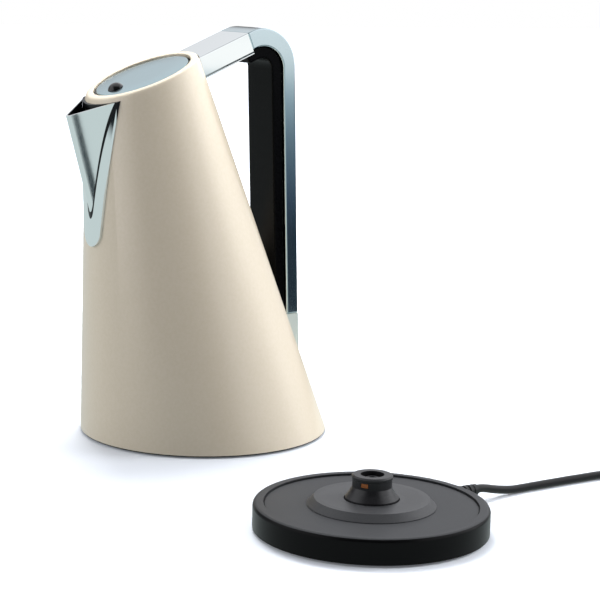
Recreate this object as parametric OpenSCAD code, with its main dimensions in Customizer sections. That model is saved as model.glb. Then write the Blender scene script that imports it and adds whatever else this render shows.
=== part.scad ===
// Cordless electric kettle standing beside its corded power base.
// Origin: middle of the set's outline on the surface it stands on, the mains lead left out.
// +X from the spout to the handle, +Z up; the power base stands on the -Y side of the kettle.

/* [Kettle body] */
// Length of the oval foot, from spout side to handle side
foot_len = 180; // [176:1:184]
// Lean of the body's axis towards the spout, in degrees
body_lean = 11; // [10.5:0.25:11.5]
// Half angle of the body's cone, in degrees
body_taper = 10.25; // [10:0.25:10.5]
// Height of the rim plane over the foot's centre
rim_height = 281; // [276:1:286]
// Tilt of the rim plane, down towards the spout, in degrees
rim_tilt = 23; // [22:0.5:24]
// Wall of the painted outer shell
shell_wall = 1.2; // [0.8:0.1:1.6]
// Thickness of the turned-in lip around the mouth
lip_t = 3; // [2.4:0.2:3.4]
// Height of the shell's lower edge over the surface
shell_lift = 2; // [1.6:0.1:2.6]

/* [Water vessel] */
// Air gap between the outer shell and the water vessel
vessel_gap = 4.5; // [4:0.25:5.5]
// Wall of the water vessel
vessel_wall = 0.8; // [0.6:0.1:1]
// Height of the heater plate's upper face
plate_top = 31.2; // [29:0.2:34]
// Thickness of the heater plate
plate_t = 1.2; // [1:0.1:1.6]
// Radius of the aluminium heat spreader
spreader_r = 50; // [46:1:54]
// Thickness of the heat spreader
spreader_t = 2; // [1.5:0.25:3]
// Radius of the heating element's ring
element_r = 38; // [36:0.5:40]
// Radius of the heating element's tube
element_tube_r = 3.6; // [3:0.1:4]
// Radius of the steam tube in the air gap
steam_r = 1.8; // [1.4:0.1:1.8]

/* [Lid] */
// Width of the body's lip, at the sides of the mouth
lip_w = 5.1; // [4.8:0.1:5.6]
// Gap around the lid's top plate, down to the black seat
lid_gap = 1.9; // [1.8:0.1:2.2]
// Depth of the lid's top plate below the rim
lid_recess = 0.8; // [0.6:0.1:1]
// Thickness of the lid's top plate
lid_t = 0.8; // [0.7:0.1:1]
// Depth of the lid's pan below its top plate
pan_depth = 6.6; // [5.5:0.1:7]
// Wall of the lid's pan
pan_wall = 1; // [0.8:0.1:1.4]
// Radius of the lid's knob
knob_r = 5.6; // [4.5:0.1:6.5]
// Height of the lid's knob
knob_h = 3.8; // [3:0.1:4.5]
// Distance of the knob's middle from the lid's edge
knob_inset = 11.4; // [10:0.1:14]
// Radius of the hinge pin
pin_r = 0.75; // [0.7:0.05:0.8]
// Running clearance around the hinge pin
pin_gap = 0.06; // [0.04:0.01:0.1]

/* [Spout] */
// Distance of the spout's tip from the foot's centre
spout_reach = 112.2; // [109:0.2:114]
// Lean of the spout's nose line, in degrees
nose_lean = 15.5; // [14:0.5:17]
// Width of the spout where it meets the rim, as a share of the rim's width
spout_share = 0.6; // [0.58:0.01:0.62]
// Radius of the rounded nose
nose_r = 4.5; // [3.5:0.1:5.5]
// Wall of the spout
spout_wall = 1.3; // [1:0.1:1.6]
// Depth of the spout's lip below the rim plane
spout_drop = 3.2; // [3:0.1:4]
// Thickness of the tongue-shaped flange on the body
flange_t = 1.5; // [1:0.1:2]
// Width of the flange beside the spout, at the rim
flange_side_w = 3.6; // [3:0.1:5]
// Radius of the flange's lower end
flange_end_r = 12; // [10:0.5:13]
// Depth of the flange's lower end under the rim's centre
flange_len = 106; // [100:0.1:110]

/* [Handle] */
// Width of the chromed handle
handle_w = 38; // [35:0.5:41]
// Width of the black grip
grip_w = 34; // [30:0.5:34]
// Depth of the upper block, across its slope
block_depth = 16; // [15:0.25:17]
// Thickness of the plate under the upper block
underplate_t = 1.2; // [1:0.1:1.6]
// Slope of the upper block, in degrees
block_slope = 23; // [22:0.5:24]
// Height of the block's top line over the foot's centre
block_top = 278.9; // [277:0.1:280]
// Distance of the seam between block and bow from the foot's centre
seam_x = 19; // [16:0.5:21]
// Distance of the bow's outer arc centre from the foot's centre
bow_x = 32.8; // [31:0.2:35]
// Radius of the bow's outer arc
bow_r = 27.15; // [26:0.05:28]
// Lean of the grip, outwards going down, in degrees
grip_lean = 2.5; // [2:0.25:3]
// Depth of the chromed frame along the grip
frame_depth = 9.8; // [9:0.1:10.5]
// Depth of the whole handle along the grip
handle_depth = 18.2; // [17:0.1:19]
// Inner arc radius of the chromed frame
frame_inner_r = 16.5; // [15.5:0.1:17.5]
// Inner arc radius of the grip
grip_inner_r = 8.2; // [7:0.1:9]
// Depth of the wiring channel in the frame
channel_depth = 6; // [5.6:0.1:6.2]
// Width of the wiring channel in the frame
channel_w = 20; // [19:0.5:24]
// Height at which frame and grip end and the lower bracket begins
bracket_top = 83; // [80:1:86]
// Height of the on/off switch's pivot
switch_z = 104; // [102:1:110]
// Height of the indicator lens
lens_z = 122; // [119:1:130]

/* [Underside] */
// Radius of the recess for the power base's hub
dish_r = 41.5; // [41:0.25:44]
// Height of the recess's ceiling over the surface
dish_top = 6.5; // [6.2:0.1:7.5]
// Radius of the connector socket
socket_r = 12.7; // [12.6:0.05:13]
// Height of the socket's ceiling over the surface
socket_top = 20.5; // [20:0.5:22]
// Radius of the kettle's rubber feet
foot_r = 7; // [5:0.5:7.5]
// Distance of the kettle's feet from the centre
foot_ring_r = 52; // [50:1:53]

/* [Power base] */
// Power base position across the kettle, towards the spout
base_x = -39; // [-45:1:-34]
// Power base position beside the kettle
base_y = -262; // [-270:1:-250]
// Radius of the power base
base_r = 71.5; // [70:0.5:74]
// Height of the power base's rim
base_h = 17; // [16:0.25:18]
// Depth of the seating ring below the power base's rim
seat_drop = 1.2; // [0.8:0.1:1.6]
// Wall of the power base's shell
base_wall = 2; // [1.6:0.1:2.4]
// Radius of the hub's foot
hub_r = 39; // [37:0.5:40]
// Radius of the hub's flat top
hub_top_r = 34.3; // [32:0.1:36]
// Height of the hub over the seating ring
hub_h = 4.7; // [4:0.1:5]
// Radius of the connector post
post_r = 12; // [11.6:0.1:12.2]
// Height of the connector post's top over the surface
post_top = 34.8; // [34:0.1:35.2]
// Radius of the skirt at the connector post's foot
skirt_r = 16.3; // [15:0.1:17]
// Radius of the hole in the connector post
post_hole_r = 7.2; // [6.9:0.05:7.4]
// Radius of the power base's rubber feet
pad_r = 6.5; // [5:0.5:7]
// Height of the power base's shell over the surface
base_lift = 1.5; // [1.2:0.1:1.8]

/* [Mains lead] */
// Diameter of the mains lead
cord_d = 5.5; // [5.3:0.1:5.6]
// Length of the strain relief outside the power base
relief_len = 22; // [20:1:23]
// Radius of the plug's body
plug_r = 18.5; // [17:0.5:19]
// Height of the plug's body, lying on its back
plug_h = 22; // [20:0.5:25]
// Length of the plug's pins
plug_pin_len = 19; // [18:0.5:20]

/* [Hidden] */
$fn = 96;

far = 600;          // beyond the whole model
fit = 0.1;          // gap between pieces that are fixed together
free = 0.3;         // gap between pieces that move apart
eps = 0.01;

// Cone of the body: two straight sides in the mid plane, and the apex where they meet
half_foot = foot_len / 2;
front_slope = tan(body_lean - body_taper);
back_slope = tan(body_lean + body_taper);
apex_z = foot_len / (back_slope - front_slope);
apex_x = -half_foot - front_slope * apex_z;
cone_top = 100;     // distance of the cone's upper end from the apex
cone_bottom = 560;  // distance of the cone's lower end from the apex

function front_x(z) = -half_foot - front_slope * z;
function back_x(z) = half_foot - back_slope * z;

// Shift of the whole set from the centre of the kettle's foot to the middle of its outline
shell_half_len = (back_x(shell_lift) - front_x(shell_lift)) / 2;
shell_half_w = shell_half_len * sqrt(1 - pow(sin(body_lean) / cos(body_taper), 2));
set_x = (spout_reach - back_x(shell_lift)) / 2;
set_y = (base_r - base_y - shell_half_w) / 2;

// Rim plane: its centre, and the radius of the nearly round rim in it
rim_rise = tan(rim_tilt);
rim_front_x = (-half_foot - front_slope * rim_height) / (1 + front_slope * rim_rise);
rim_back_x = (half_foot - back_slope * rim_height) / (1 + back_slope * rim_rise);
rim_x = (rim_front_x + rim_back_x) / 2;
rim_z = rim_height + rim_rise * rim_x;
rim_half_len = (rim_back_x - rim_front_x) / 2 / cos(rim_tilt);
rim_half_w = sqrt(cone_r(rim_front_x) * cone_r(rim_back_x));
mouth_r = rim_half_w - lip_w;
lid_r = mouth_r - lid_gap;
knob_offset = lid_r - knob_inset;

// Radius of the cone's round section through the point of the rim plane at x in the mid plane
function cone_r(x) = tan(body_taper)
    * ((x - apex_x) * sin(body_lean) + (apex_z - rim_height - rim_rise * x) * cos(body_lean));

// Depths below the rim plane
lid_under = lid_recess + lid_t;
seat_face = lid_under + free;
seat_bottom = 8;
seat_inner_r = lid_r - 2.1;
seat_outer_r = mouth_r + 1.6;
seat_ledge_r = mouth_r - 0.2;

// Lid hinge, in the rim frame: distance towards the handle, and depth
knuckle_r = pin_r + 1;
hinge_s = lid_r - 4.5;
hinge_depth = lid_under + pin_r + pin_gap;
hinge_notch_s = hinge_s - 3.5;
hinge_notch_half_w = sqrt(lid_r * lid_r - hinge_s * hinge_s) + free;
hinge_pin_half = sqrt(pow(seat_ledge_r, 2) - pow(hinge_s + pin_r, 2)) - pin_gap;
knuckle_near = 9;
knuckle_far = 14;
pan_r = seat_inner_r - 2.1;
pan_cut_s = hinge_s - knuckle_r - 5.5;
gasket_r = seat_inner_r - 0.4;
gasket_depth = 3.1;
gasket_h = 2;

// Water vessel: offsets of its faces from the outside of the shell
vessel_out = shell_wall + vessel_gap;
vessel_in = vessel_out + vessel_wall;
plate_bottom = plate_top - plate_t;
spreader_bottom = plate_bottom - spreader_t;
element_x = -tan(body_lean) * plate_bottom;
element_z = spreader_bottom - element_tube_r - fit;

// Spout: window through the shell and the vessel, in depths below the rim plane
window_top = 6;
window_bottom = 38;
window_inset = 1.5;
seal_t = 2;
strainer_t = 0.8;
strainer_hole_r = 1.1;
strainer_pitch = 4;
strainer_rows = 7;
strainer_columns = 8;
spout_tip_z = rim_z - (spout_drop / cos(rim_tilt)) + rim_rise * (-spout_reach - rim_x);
spout_half_w = spout_share * rim_half_w;
spout_meet_x = rim_x - (rim_back_x - rim_front_x) / 2 * sqrt(1 - spout_share * spout_share);
spout_side_len = norm([spout_meet_x + spout_reach - nose_r, spout_half_w]);
spout_v_angle = atan(spout_half_w / (spout_meet_x + spout_reach - nose_r)) - asin(nose_r / spout_side_len);
spout_arm = 1.25 * spout_side_len;
flange_half_w = spout_half_w + flange_side_w;
flange_end_z = rim_z - flange_len;

// Handle: outlines in the mid plane, each a slope, an arc and a leaning line
bow_z = block_top + tan(block_slope) * bow_x - bow_r / cos(block_slope);
frame_inner_x = bow_x + bow_r - frame_depth - frame_inner_r;
frame_inner_z = bow_z - 2.3;
grip_inner_x = bow_x + bow_r - handle_depth - grip_inner_r;
grip_inner_z = bow_z - 2.4;
seam_z = block_top + tan(block_slope) * seam_x;
lean_x = bow_x + bow_r * cos(grip_lean);
lean_z = bow_z + bow_r * sin(grip_lean);
grip_tuck = 5;
block_reach = 60;   // from the seam through the body's cone
window_w = 12.4;
rocker_w = window_w - 2 * free;
rocker_r = 8.5;
rocker_crest = 2.7;
rocker_angle = 12;
pivot_depth = 2.2;
pivot_r = 0.9;
switch_front = 3.7;
switch_depth = frame_depth - pivot_depth - fit;
lens_r = 2;
screw_r = 2;
screw_head_r = 3.5;
screw_head_t = 2;
screw_y = 9;
block_screw_depth = 9.5;
bracket_screw_z = 74;

// Underside
cover_bottom = 1;
cover_t = 4;
cover_inset = 0.8;
cup_t = 2;
collar_r = socket_r + 3.3;
control_r = 22;
control_h = 14.5;
sensor_r = 12;
cover_top = cover_bottom + cover_t;
foot_pocket_top = 2.5;
cover_screw_ring_r = 62;
cover_screw_angle = 60;
cover_screw_r = 1.6;
cover_screw_head_r = 3.4;
boss_r = 4;

// Power base
seat_z = base_h - seat_drop;
hub_top_z = seat_z + hub_h;
groove_r = base_r - 6.5;
post_foot_z = 27.5;
post_flange_r = skirt_r + 3.2;
post_flange_bottom = hub_top_z - base_wall - 2.5;
core_r = 4;
core_hole_r = 2.3;
contact_z = 23;
bottom_t = 2;
bottom_top = base_lift + bottom_t;
pad_top = base_lift + 0.8;
pad_ring_r = base_r - 11;
pad_angle = 5;
base_screw_ring_r = pad_ring_r - pad_r - cover_screw_head_r - 0.6;
base_screw_angle = 30;
earth_angle = 211;
exit_angle = 9;
exit_z = 8.6;

// Mains lead: where it leaves the strain relief, and the round coil that holds the rest
cord_r = cord_d / 2;
relief_start = base_r - base_wall - 6;
coil_x = 212;
coil_y = -284;
coil_lift = 0.8;
coil_inner_r = 24.4;
coil_outer_r = 41.4;
coil_top = 12;
plug_x = 154;
plug_y = -322.5;
tail_z = 7;
tail_len = 16;

// Route of the mains lead along its middle, from the strain relief to the coil
CORD_ROUTE = [
    [53.35, -247.37, 8.6], [57.3, -246.75, 8.6], [62.5, -246, 7.8], [69, -245.3, 6.2], [77, -244.7, 4.5],
    [86, -244.3, 3.2], [95, -244, 2.8], [105, -243.9, 2.8], [116, -243.9, 2.8], [127, -244, 2.8],
    [138, -244.2, 2.8], [149, -244.5, 2.8], [160, -244.8, 2.8], [171, -245.1, 2.9], [182, -245.25, 3.2],
    [193, -245.35, 3.5], [204, -245.4, 3.55],
];
// Route from the coil to the plug's tail
CORD_TAIL = [
    [212, -322.5, 8.6], [206, -322.5, 8.3], [200, -322.5, 7.6], [194, -322.5, 7], [188, -322.5, 7],
];

// ---------- Shared shapes ----------

// Solid cone of the body, grown outwards by off
module cone_solid(off = 0) {
    translate([apex_x, 0, apex_z])
        rotate([0, -body_lean, 0])
            translate([0, 0, off / sin(body_taper) - cone_bottom])
                cylinder(h = cone_bottom - cone_top, r1 = cone_bottom * tan(body_taper),
                         r2 = cone_top * tan(body_taper), $fn = 180);
}

// The whole set, moved so that its outline is centred on the origin
module in_place() {
    translate([set_x, set_y, 0]) children();
}

module on_rim() {
    translate([rim_x, 0, rim_z])
        rotate([0, -rim_tilt, 0])
            children();
}

// Everything deeper than depth below the rim plane
module below_rim(depth = 0) {
    on_rim() translate([-far / 2, -far / 2, -far - depth]) cube(far);
}

// Everything between two heights
module slab(z0, z1) {
    translate([-far / 2, -far / 2, z0]) cube([far, far, z1 - z0]);
}

module ring(r_in, r_out, z0, z1) {
    difference() {
        translate([0, 0, z0]) cylinder(h = z1 - z0, r = r_out);
        translate([0, 0, z0 - 1]) cylinder(h = z1 - z0 + 2, r = r_in);
    }
}

module around(count, radius, start = 0) {
    for (i = [0 : count - 1])
        rotate([0, 0, start + i * 360 / count]) translate([radius, 0, 0]) children();
}

// ---------- Kettle body ----------

module body_shell() {
    color("wheat") difference() {
        intersection() {
            cone_solid();
            slab(shell_lift, far / 2);
            below_rim();
        }
        intersection() {
            cone_solid(-shell_wall);
            below_rim(lip_t);
        }
        on_rim() translate([0, 0, -lip_t - 1]) cylinder(h = lip_t + 2, r = mouth_r);
        spout_window();
        screw_places() cylinder(h = 12, r = screw_r + fit, center = true);
    }
}

module rim_seat() {
    color("black") on_rim() difference() {
        union() {
            ring(seat_inner_r, seat_outer_r, -seat_bottom, -lip_t);
            ring(seat_inner_r, seat_ledge_r, -lip_t - eps, -seat_face);
        }
        translate([hinge_notch_s, -hinge_notch_half_w, -far / 2]) cube([far, 2 * hinge_notch_half_w, far]);
        hinge_axis() cylinder(h = 2 * hinge_pin_half + 0.2, r = pin_r + pin_gap, center = true);
    }
}

module water_vessel() {
    color("silver") difference() {
        intersection() {
            cone_solid(-vessel_out);
            slab(spreader_bottom, far / 2);
            below_rim(seat_bottom);
        }
        cone_solid(-vessel_in);
        spout_window();
    }
}

module heater_plate() {
    boss_bottom = cover_top + 5;
    color("silver") difference() {
        union() {
            intersection() {
                cone_solid(-vessel_in - fit);
                slab(plate_bottom, plate_top);
            }
            around(3, cover_screw_ring_r, cover_screw_angle)
                translate([0, 0, boss_bottom]) cylinder(h = plate_bottom - boss_bottom + eps, r = boss_r);
        }
        around(3, cover_screw_ring_r, cover_screw_angle)
            translate([0, 0, boss_bottom - 1]) cylinder(h = 14, r = cover_screw_r + fit);
    }
}

module heat_spreader() {
    color("lightgray") translate([element_x, 0, spreader_bottom]) cylinder(h = spreader_t, r = spreader_r);
}

module heating_element() {
    sweep = 290;
    pin_len = 7;
    pin_inset = 6;
    color("dimgray") translate([element_x, 0, element_z]) rotate([0, 0, 35]) {
        rotate_extrude(angle = sweep) translate([element_r, 0]) circle(r = element_tube_r, $fn = 48);
        for (a = [pin_inset, sweep - pin_inset])
            rotate([0, 0, a]) translate([element_r, 0, -pin_len])
                cylinder(h = pin_len, r = element_tube_r - 1.2);
    }
}

module thermostat_control() {
    shoulder = dish_top + cup_t;
    color("black") difference() {
        union() {
            translate([0, 0, dish_top]) cylinder(h = cup_t + eps, r = collar_r);
            translate([0, 0, shoulder]) cylinder(h = control_h, r = control_r);
            translate([0, 0, shoulder + control_h - eps])
                cylinder(h = spreader_bottom - shoulder - control_h + eps, r = sensor_r);
        }
        translate([0, 0, dish_top - 1]) cylinder(h = socket_top - dish_top + 1, r = socket_r);
    }
}

module socket_contacts() {
    ring_r = 6;
    ring_wall = 0.8;
    ring_start = dish_top + 3;
    centre_r = 1.6;
    color("gold") {
        ring(ring_r - ring_wall, ring_r, ring_start, socket_top);
        translate([0, 0, ring_start]) cylinder(h = socket_top - ring_start, r = centre_r);
        translate([0, 0, ring_start]) sphere(r = centre_r);
    }
}

module steam_tube() {
    top_z = 236;
    bottom_z = plate_top + 4;
    inset = shell_wall + vessel_gap / 2;
    length = (top_z - bottom_z) / cos(body_lean + body_taper);
    start_x = back_x(bottom_z) - inset / cos(body_lean + body_taper);
    color("white") translate([start_x, 0, bottom_z])
        rotate([0, -(body_lean + body_taper), 0])
            cylinder(h = length, r = steam_r);
}

module bottom_cover() {
    color("black") difference() {
        union() {
            intersection() {
                cone_solid(-cover_inset);
                slab(cover_bottom, shell_lift);
            }
            intersection() {
                cone_solid(-shell_wall - fit);
                slab(shell_lift - eps, cover_top);
            }
            translate([0, 0, cover_top - eps])
                cylinder(h = dish_top + cup_t - cover_top + eps, r = dish_r + cup_t);
        }
        translate([0, 0, -1]) cylinder(h = dish_top + 1, r = dish_r);
        cylinder(h = far, r = collar_r + fit, center = true);
        around(3, foot_ring_r) translate([0, 0, -1]) cylinder(h = foot_pocket_top + 1, r = foot_r + fit);
        around(3, cover_screw_ring_r, cover_screw_angle) {
            cylinder(h = far, r = cover_screw_r + fit, center = true);
            translate([0, 0, -1]) cylinder(h = cover_bottom + 3.4, r = cover_screw_head_r + fit);
        }
    }
}

module kettle_feet() {
    color("dimgray") around(3, foot_ring_r) cylinder(h = foot_pocket_top, r = foot_r);
}

module cover_screws() {
    head_bottom = cover_bottom + 0.6;
    head_top = cover_bottom + 2.4;
    color("silver") around(3, cover_screw_ring_r, cover_screw_angle) {
        translate([0, 0, head_bottom]) cylinder(h = head_top - head_bottom, r = cover_screw_head_r);
        translate([0, 0, head_top - eps]) cylinder(h = 16, r = cover_screw_r);
    }
}

// ---------- Spout ----------

module on_nose() {
    translate([-spout_reach, 0, spout_tip_z])
        rotate([0, -nose_lean, 0])
            children();
}

// Endless V with a rounded nose, grown outwards by off, its sides shorter by so much
module spout_v(off = 0, shorter = 0) {
    r = nose_r + off;
    steps = 12;
    a = 90 + spout_v_angle;
    arm = spout_arm - shorter;
    end = [nose_r + r * cos(a) + arm * cos(spout_v_angle), r * sin(a) + arm * sin(spout_v_angle)];
    nose = [for (i = [0 : steps]) let (t = a + (360 - 2 * a) * i / steps) [nose_r + r * cos(t), r * sin(t)]];
    on_nose() translate([0, 0, -far / 4]) linear_extrude(height = far / 2)
        polygon(concat([end], nose, [[end[0], -end[1]]]));
}

// The spout's way through the shell and the vessel
module spout_window(grow = 0, shorter = 0) {
    intersection() {
        spout_v(-spout_wall - window_inset + grow, shorter);
        below_rim(window_top - grow);
        difference() {
            slab(0, far / 2);
            below_rim(window_bottom + grow);
        }
        translate([-far / 2, -far / 2, 0]) cube([far / 2 + rim_x, far, far]);
    }
}

// Tongue-shaped outline of the flange, seen along X
module flange_outline() {
    top_z = rim_z;
    fall = atan((flange_half_w - flange_end_r) / (top_z - flange_end_z));
    translate([0, flange_end_z]) circle(r = flange_end_r);
    polygon([
        [-flange_end_r * cos(fall), flange_end_z - flange_end_r * sin(fall)],
        [flange_end_r * cos(fall), flange_end_z - flange_end_r * sin(fall)],
        [flange_half_w, top_z],
        [-flange_half_w, top_z],
    ]);
}

module spout() {
    color("gainsboro") difference() {
        intersection() {
            spout_v();
            below_rim(spout_drop);
            slab(flange_end_z, far / 2);
        }
        cone_solid(flange_t + 2 * fit);
        spout_v(-spout_wall);
    }
}

module spout_flange() {
    color("gainsboro") difference() {
        intersection() {
            cone_solid(flange_t + fit);
            translate([-spout_reach, 0, 0])
                rotate([90, 0, 90]) linear_extrude(height = spout_reach + rim_x) flange_outline();
            below_rim(spout_drop);
        }
        cone_solid(fit);
        spout_window();
    }
}

module spout_seal() {
    color("dimgray") difference() {
        intersection() {
            spout_window(seal_t);
            cone_solid(-shell_wall - fit);
            below_rim(lip_t + fit);
        }
        cone_solid(-vessel_out + fit);
        spout_window();
        above_seat();
    }
}

// The room of the seat and everything over it
module above_seat() {
    on_rim() translate([0, 0, -seat_bottom - fit]) cylinder(h = far, r = seat_outer_r + fit);
}

module spout_strainer() {
    first_depth = window_top + 4.5;
    shorter = free * (1 + sin(spout_v_angle)) / cos(spout_v_angle);
    color("silver") difference() {
        intersection() {
            spout_window(-free, shorter);
            cone_solid(-vessel_out);
        }
        cone_solid(-vessel_out - strainer_t);
        above_seat();
        on_rim() for (i = [0 : strainer_rows - 1], j = [0 : strainer_columns - 1])
            translate([-rim_half_len - 20, (j - (strainer_columns - 1) / 2) * strainer_pitch,
                       -first_depth - i * strainer_pitch])
                rotate([0, 90, 0]) cylinder(h = rim_half_len, r = strainer_hole_r, $fn = 24);
    }
}

// ---------- Handle ----------

// Region inside one handle outline: within the arc, inside the leaning line, and below the slope
module handle_outline(cx, cz, r, sloped = true) {
    left = -130;
    below = -60;
    down = [sin(grip_lean), -cos(grip_lean)];
    top = [cx - r * sin(block_slope), cz + r * cos(block_slope)];
    side = [cx + r * cos(grip_lean), cz + r * sin(grip_lean)];
    upper = sloped ? [top, [left, top[1] - (top[0] - left) * tan(block_slope)]] : [[left, cz]];
    translate([cx, cz]) circle(r = r, $fn = 128);
    polygon(concat(upper, [[left, below], side + down * (side[1] - below), side, [cx, cz]]));
}

module along_y(width) {
    rotate([90, 0, 0]) linear_extrude(height = width, center = true) children();
}

module outer_outline() {
    handle_outline(bow_x, bow_z, bow_r);
}

// Inner face of the chromed frame, grown outwards by off
module frame_inner_outline(off = 0) {
    handle_outline(frame_inner_x, frame_inner_z, frame_inner_r + off, false);
}

module grip_inner_outline() {
    handle_outline(grip_inner_x, grip_inner_z, grip_inner_r);
}

// Frame with its origin on the seam at the block's top line, +X up the slope
module on_block() {
    translate([seam_x, 0, seam_z])
        rotate([0, -block_slope, 0])
            children();
}

// Frame with its origin on the grip's outer face at height z, +X outwards
module on_grip(z) {
    translate([lean_x + tan(grip_lean) * (lean_z - z), 0, z])
        rotate([0, -grip_lean, 0])
            children();
}

// Space of the upper block, up to u along its slope and down to depth below its top
module block_space(u, depth) {
    on_block() translate([u - far / 2, -far / 2, -depth]) cube([far / 2, far, depth + far / 2]);
}

// Everything on the bow above the lower bracket
module above_bracket(gap = 0) {
    on_grip(bracket_top + gap) translate([-far / 2, -far / 2, 0]) cube(far);
}

module handle_block() {
    side_wall = 1.6;
    web_t = 5;
    web_u = block_screw_u() + 8;
    color("gainsboro") difference() {
        on_block() difference() {
            translate([-block_reach, -handle_w / 2, -block_depth + underplate_t])
                cube([block_reach, handle_w, block_depth - underplate_t]);
            for (ends = [[-block_reach - 1, web_u - web_t], [web_u, -side_wall]])
                translate([ends[0], -handle_w / 2 + side_wall, -block_depth])
                    cube([ends[1] - ends[0], handle_w - 2 * side_wall, block_depth - side_wall]);
        }
        cone_solid(fit);
        screw_places(true, false) cylinder(h = 30, r = screw_r);
    }
}

module block_underplate() {
    color("silver") difference() {
        on_block() translate([-block_reach, -handle_w / 2, -block_depth])
            cube([block_reach, handle_w, underplate_t]);
        cone_solid(fit);
    }
}

module handle_frame() {
    color("lightsteelblue") difference() {
        intersection() {
            along_y(handle_w) difference() {
                outer_outline();
                frame_inner_outline();
            }
            above_bracket(fit);
        }
        block_space(fit, 70);
        along_y(channel_w) intersection() {
            outer_outline();
            frame_inner_outline(channel_depth);
        }
        on_grip(switch_z) {
            translate([-frame_depth, -window_w / 2, -rocker_r - free])
                cube([frame_depth + 5, window_w, 2 * (rocker_r + free)]);
            translate([-pivot_depth, 0, 0]) rotate([90, 0, 0])
                cylinder(h = window_w + 4.2, r = pivot_r + fit / 2, center = true);
        }
        on_grip(lens_z) rotate([0, 90, 0]) cylinder(h = 30, r = lens_r + fit / 2, center = true);
    }
}

module handle_grip() {
    color("black") difference() {
        intersection() {
            along_y(grip_w) difference() {
                frame_inner_outline(-fit);
                grip_inner_outline();
            }
            above_bracket(fit);
        }
        block_space(fit, block_depth + fit);
        block_space(-grip_tuck, 70);
        cone_solid(free);
    }
}

module lower_bracket() {
    lower_end = back_x(0) - (lean_x + tan(grip_lean) * lean_z);
    color("gainsboro") difference() {
        intersection() {
            along_y(handle_w) difference() {
                outer_outline();
                grip_inner_outline();
            }
            slab(lower_end, bracket_top + 5);
        }
        above_bracket();
        cone_solid(fit);
        screw_places(false, true) cylinder(h = 9, r = screw_r, center = true);
    }
}

// Axes of the four screws that hold the handle, each with its Z out of the shell
module screw_places(block = true, bracket = true) {
    if (block)
        for (s = [-1, 1])
            on_block() translate([block_screw_u(), s * screw_y, -block_screw_depth])
                rotate([0, 90, 0]) children();
    if (bracket)
        for (s = [-1, 1])
            translate([back_x(bracket_screw_z), s * screw_y, bracket_screw_z])
                rotate([0, 90 - body_lean - body_taper, 0]) children();
}

// Where the block's screw axis crosses the shell's outside, measured from the seam along the slope
function block_screw_u() =
    let (x0 = seam_x + block_screw_depth * sin(block_slope),
         z0 = seam_z - block_screw_depth * cos(block_slope))
    (half_foot - back_slope * z0 - x0) / (cos(block_slope) + back_slope * sin(block_slope));

module handle_screws() {
    recess = screw_y * screw_y / 80 + shell_wall + 0.6;
    color("silver") {
        screw_places(true, false) {
            translate([0, 0, -recess - screw_head_t]) cylinder(h = screw_head_t, r = screw_head_r - 0.5);
            translate([0, 0, -recess - eps]) cylinder(h = recess + 8, r = screw_r - fit);
        }
        screw_places(false, true) {
            translate([0, 0, -recess - screw_head_t]) cylinder(h = screw_head_t, r = screw_head_r - 0.5);
            translate([0, 0, -recess - eps]) cylinder(h = recess + 4, r = screw_r - fit);
        }
    }
}

// ---------- Switch ----------

module switch_pin() {
    color("silver") on_grip(switch_z) translate([-pivot_depth, 0, 0]) rotate([90, 0, 0])
        cylinder(h = window_w + 4, r = pivot_r, center = true);
}

module switch_rocker() {
    fall = tan(rocker_angle);
    heel = 3.5;
    color("dimgray") on_grip(switch_z) translate([-pivot_depth, 0, 0]) difference() {
        along_y(rocker_w) intersection() {
            circle(r = rocker_r);
            polygon([
                [rocker_crest, 0], [rocker_crest - fall * rocker_r, rocker_r], [-0.6, rocker_r],
                [-2.6, heel], [-2.6, -heel], [-0.6, -rocker_r], [rocker_crest, -rocker_r],
            ]);
        }
        rotate([90, 0, 0]) cylinder(h = far, r = pivot_r + pin_gap, center = true);
    }
}

module switch_body() {
    half_h = 9;
    color("black") on_grip(switch_z)
        translate([-pivot_depth - switch_depth, -channel_w / 2 + fit, -half_h])
            cube([switch_depth - switch_front, channel_w - 2 * fit, 2 * half_h]);
}

module indicator_lens() {
    color("orange") on_grip(lens_z) rotate([0, 90, 0])
        translate([0, 0, -frame_depth + channel_depth])
            cylinder(h = frame_depth - channel_depth + 0.4, r = lens_r);
}

// ---------- Lid ----------

module hinge_axis() {
    translate([hinge_s, 0, -hinge_depth]) rotate([90, 0, 0]) children();
}

module hinge_pin() {
    color("silver") on_rim() hinge_axis() cylinder(h = 2 * hinge_pin_half, r = pin_r, center = true);
}

module lid_plate() {
    bevel = 0.6;
    color("silver") on_rim() difference() {
        translate([0, 0, -lid_under]) cylinder(h = lid_t, r1 = lid_r, r2 = lid_r - bevel);
        translate([-knob_offset, 0, 0]) cylinder(h = far, r = screw_r, center = true);
    }
}

module lid_pan() {
    bottom = lid_under + pan_depth;
    color("dimgray") on_rim() difference() {
        union() {
            intersection() {
                translate([0, 0, -bottom]) cylinder(h = pan_depth, r = pan_r);
                translate([-far, -far / 2, -far / 2]) cube([far + pan_cut_s, far, far]);
            }
            for (s = [-1, 1])
                translate([0, s * (knuckle_near + knuckle_far) / 2, 0]) {
                    w = knuckle_far - knuckle_near;
                    translate([pan_cut_s - eps, -w / 2, -hinge_depth - knuckle_r])
                        cube([hinge_s - pan_cut_s, w, 2 * knuckle_r]);
                    hinge_axis() cylinder(h = w, r = knuckle_r, center = true);
                }
        }
        intersection() {
            translate([0, 0, -bottom + pan_wall]) cylinder(h = pan_depth, r = pan_r - pan_wall);
            translate([-far, -far / 2, -far / 2]) cube([far + pan_cut_s - pan_wall, far, far]);
        }
        translate([0, -far / 2, -lid_under]) cube(far);
        translate([hinge_s - pin_r / 2, -far / 2, -hinge_depth]) cube([pin_r, far, hinge_depth]);
        hinge_axis() cylinder(h = far, r = pin_r + pin_gap, center = true);
    }
}

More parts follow.
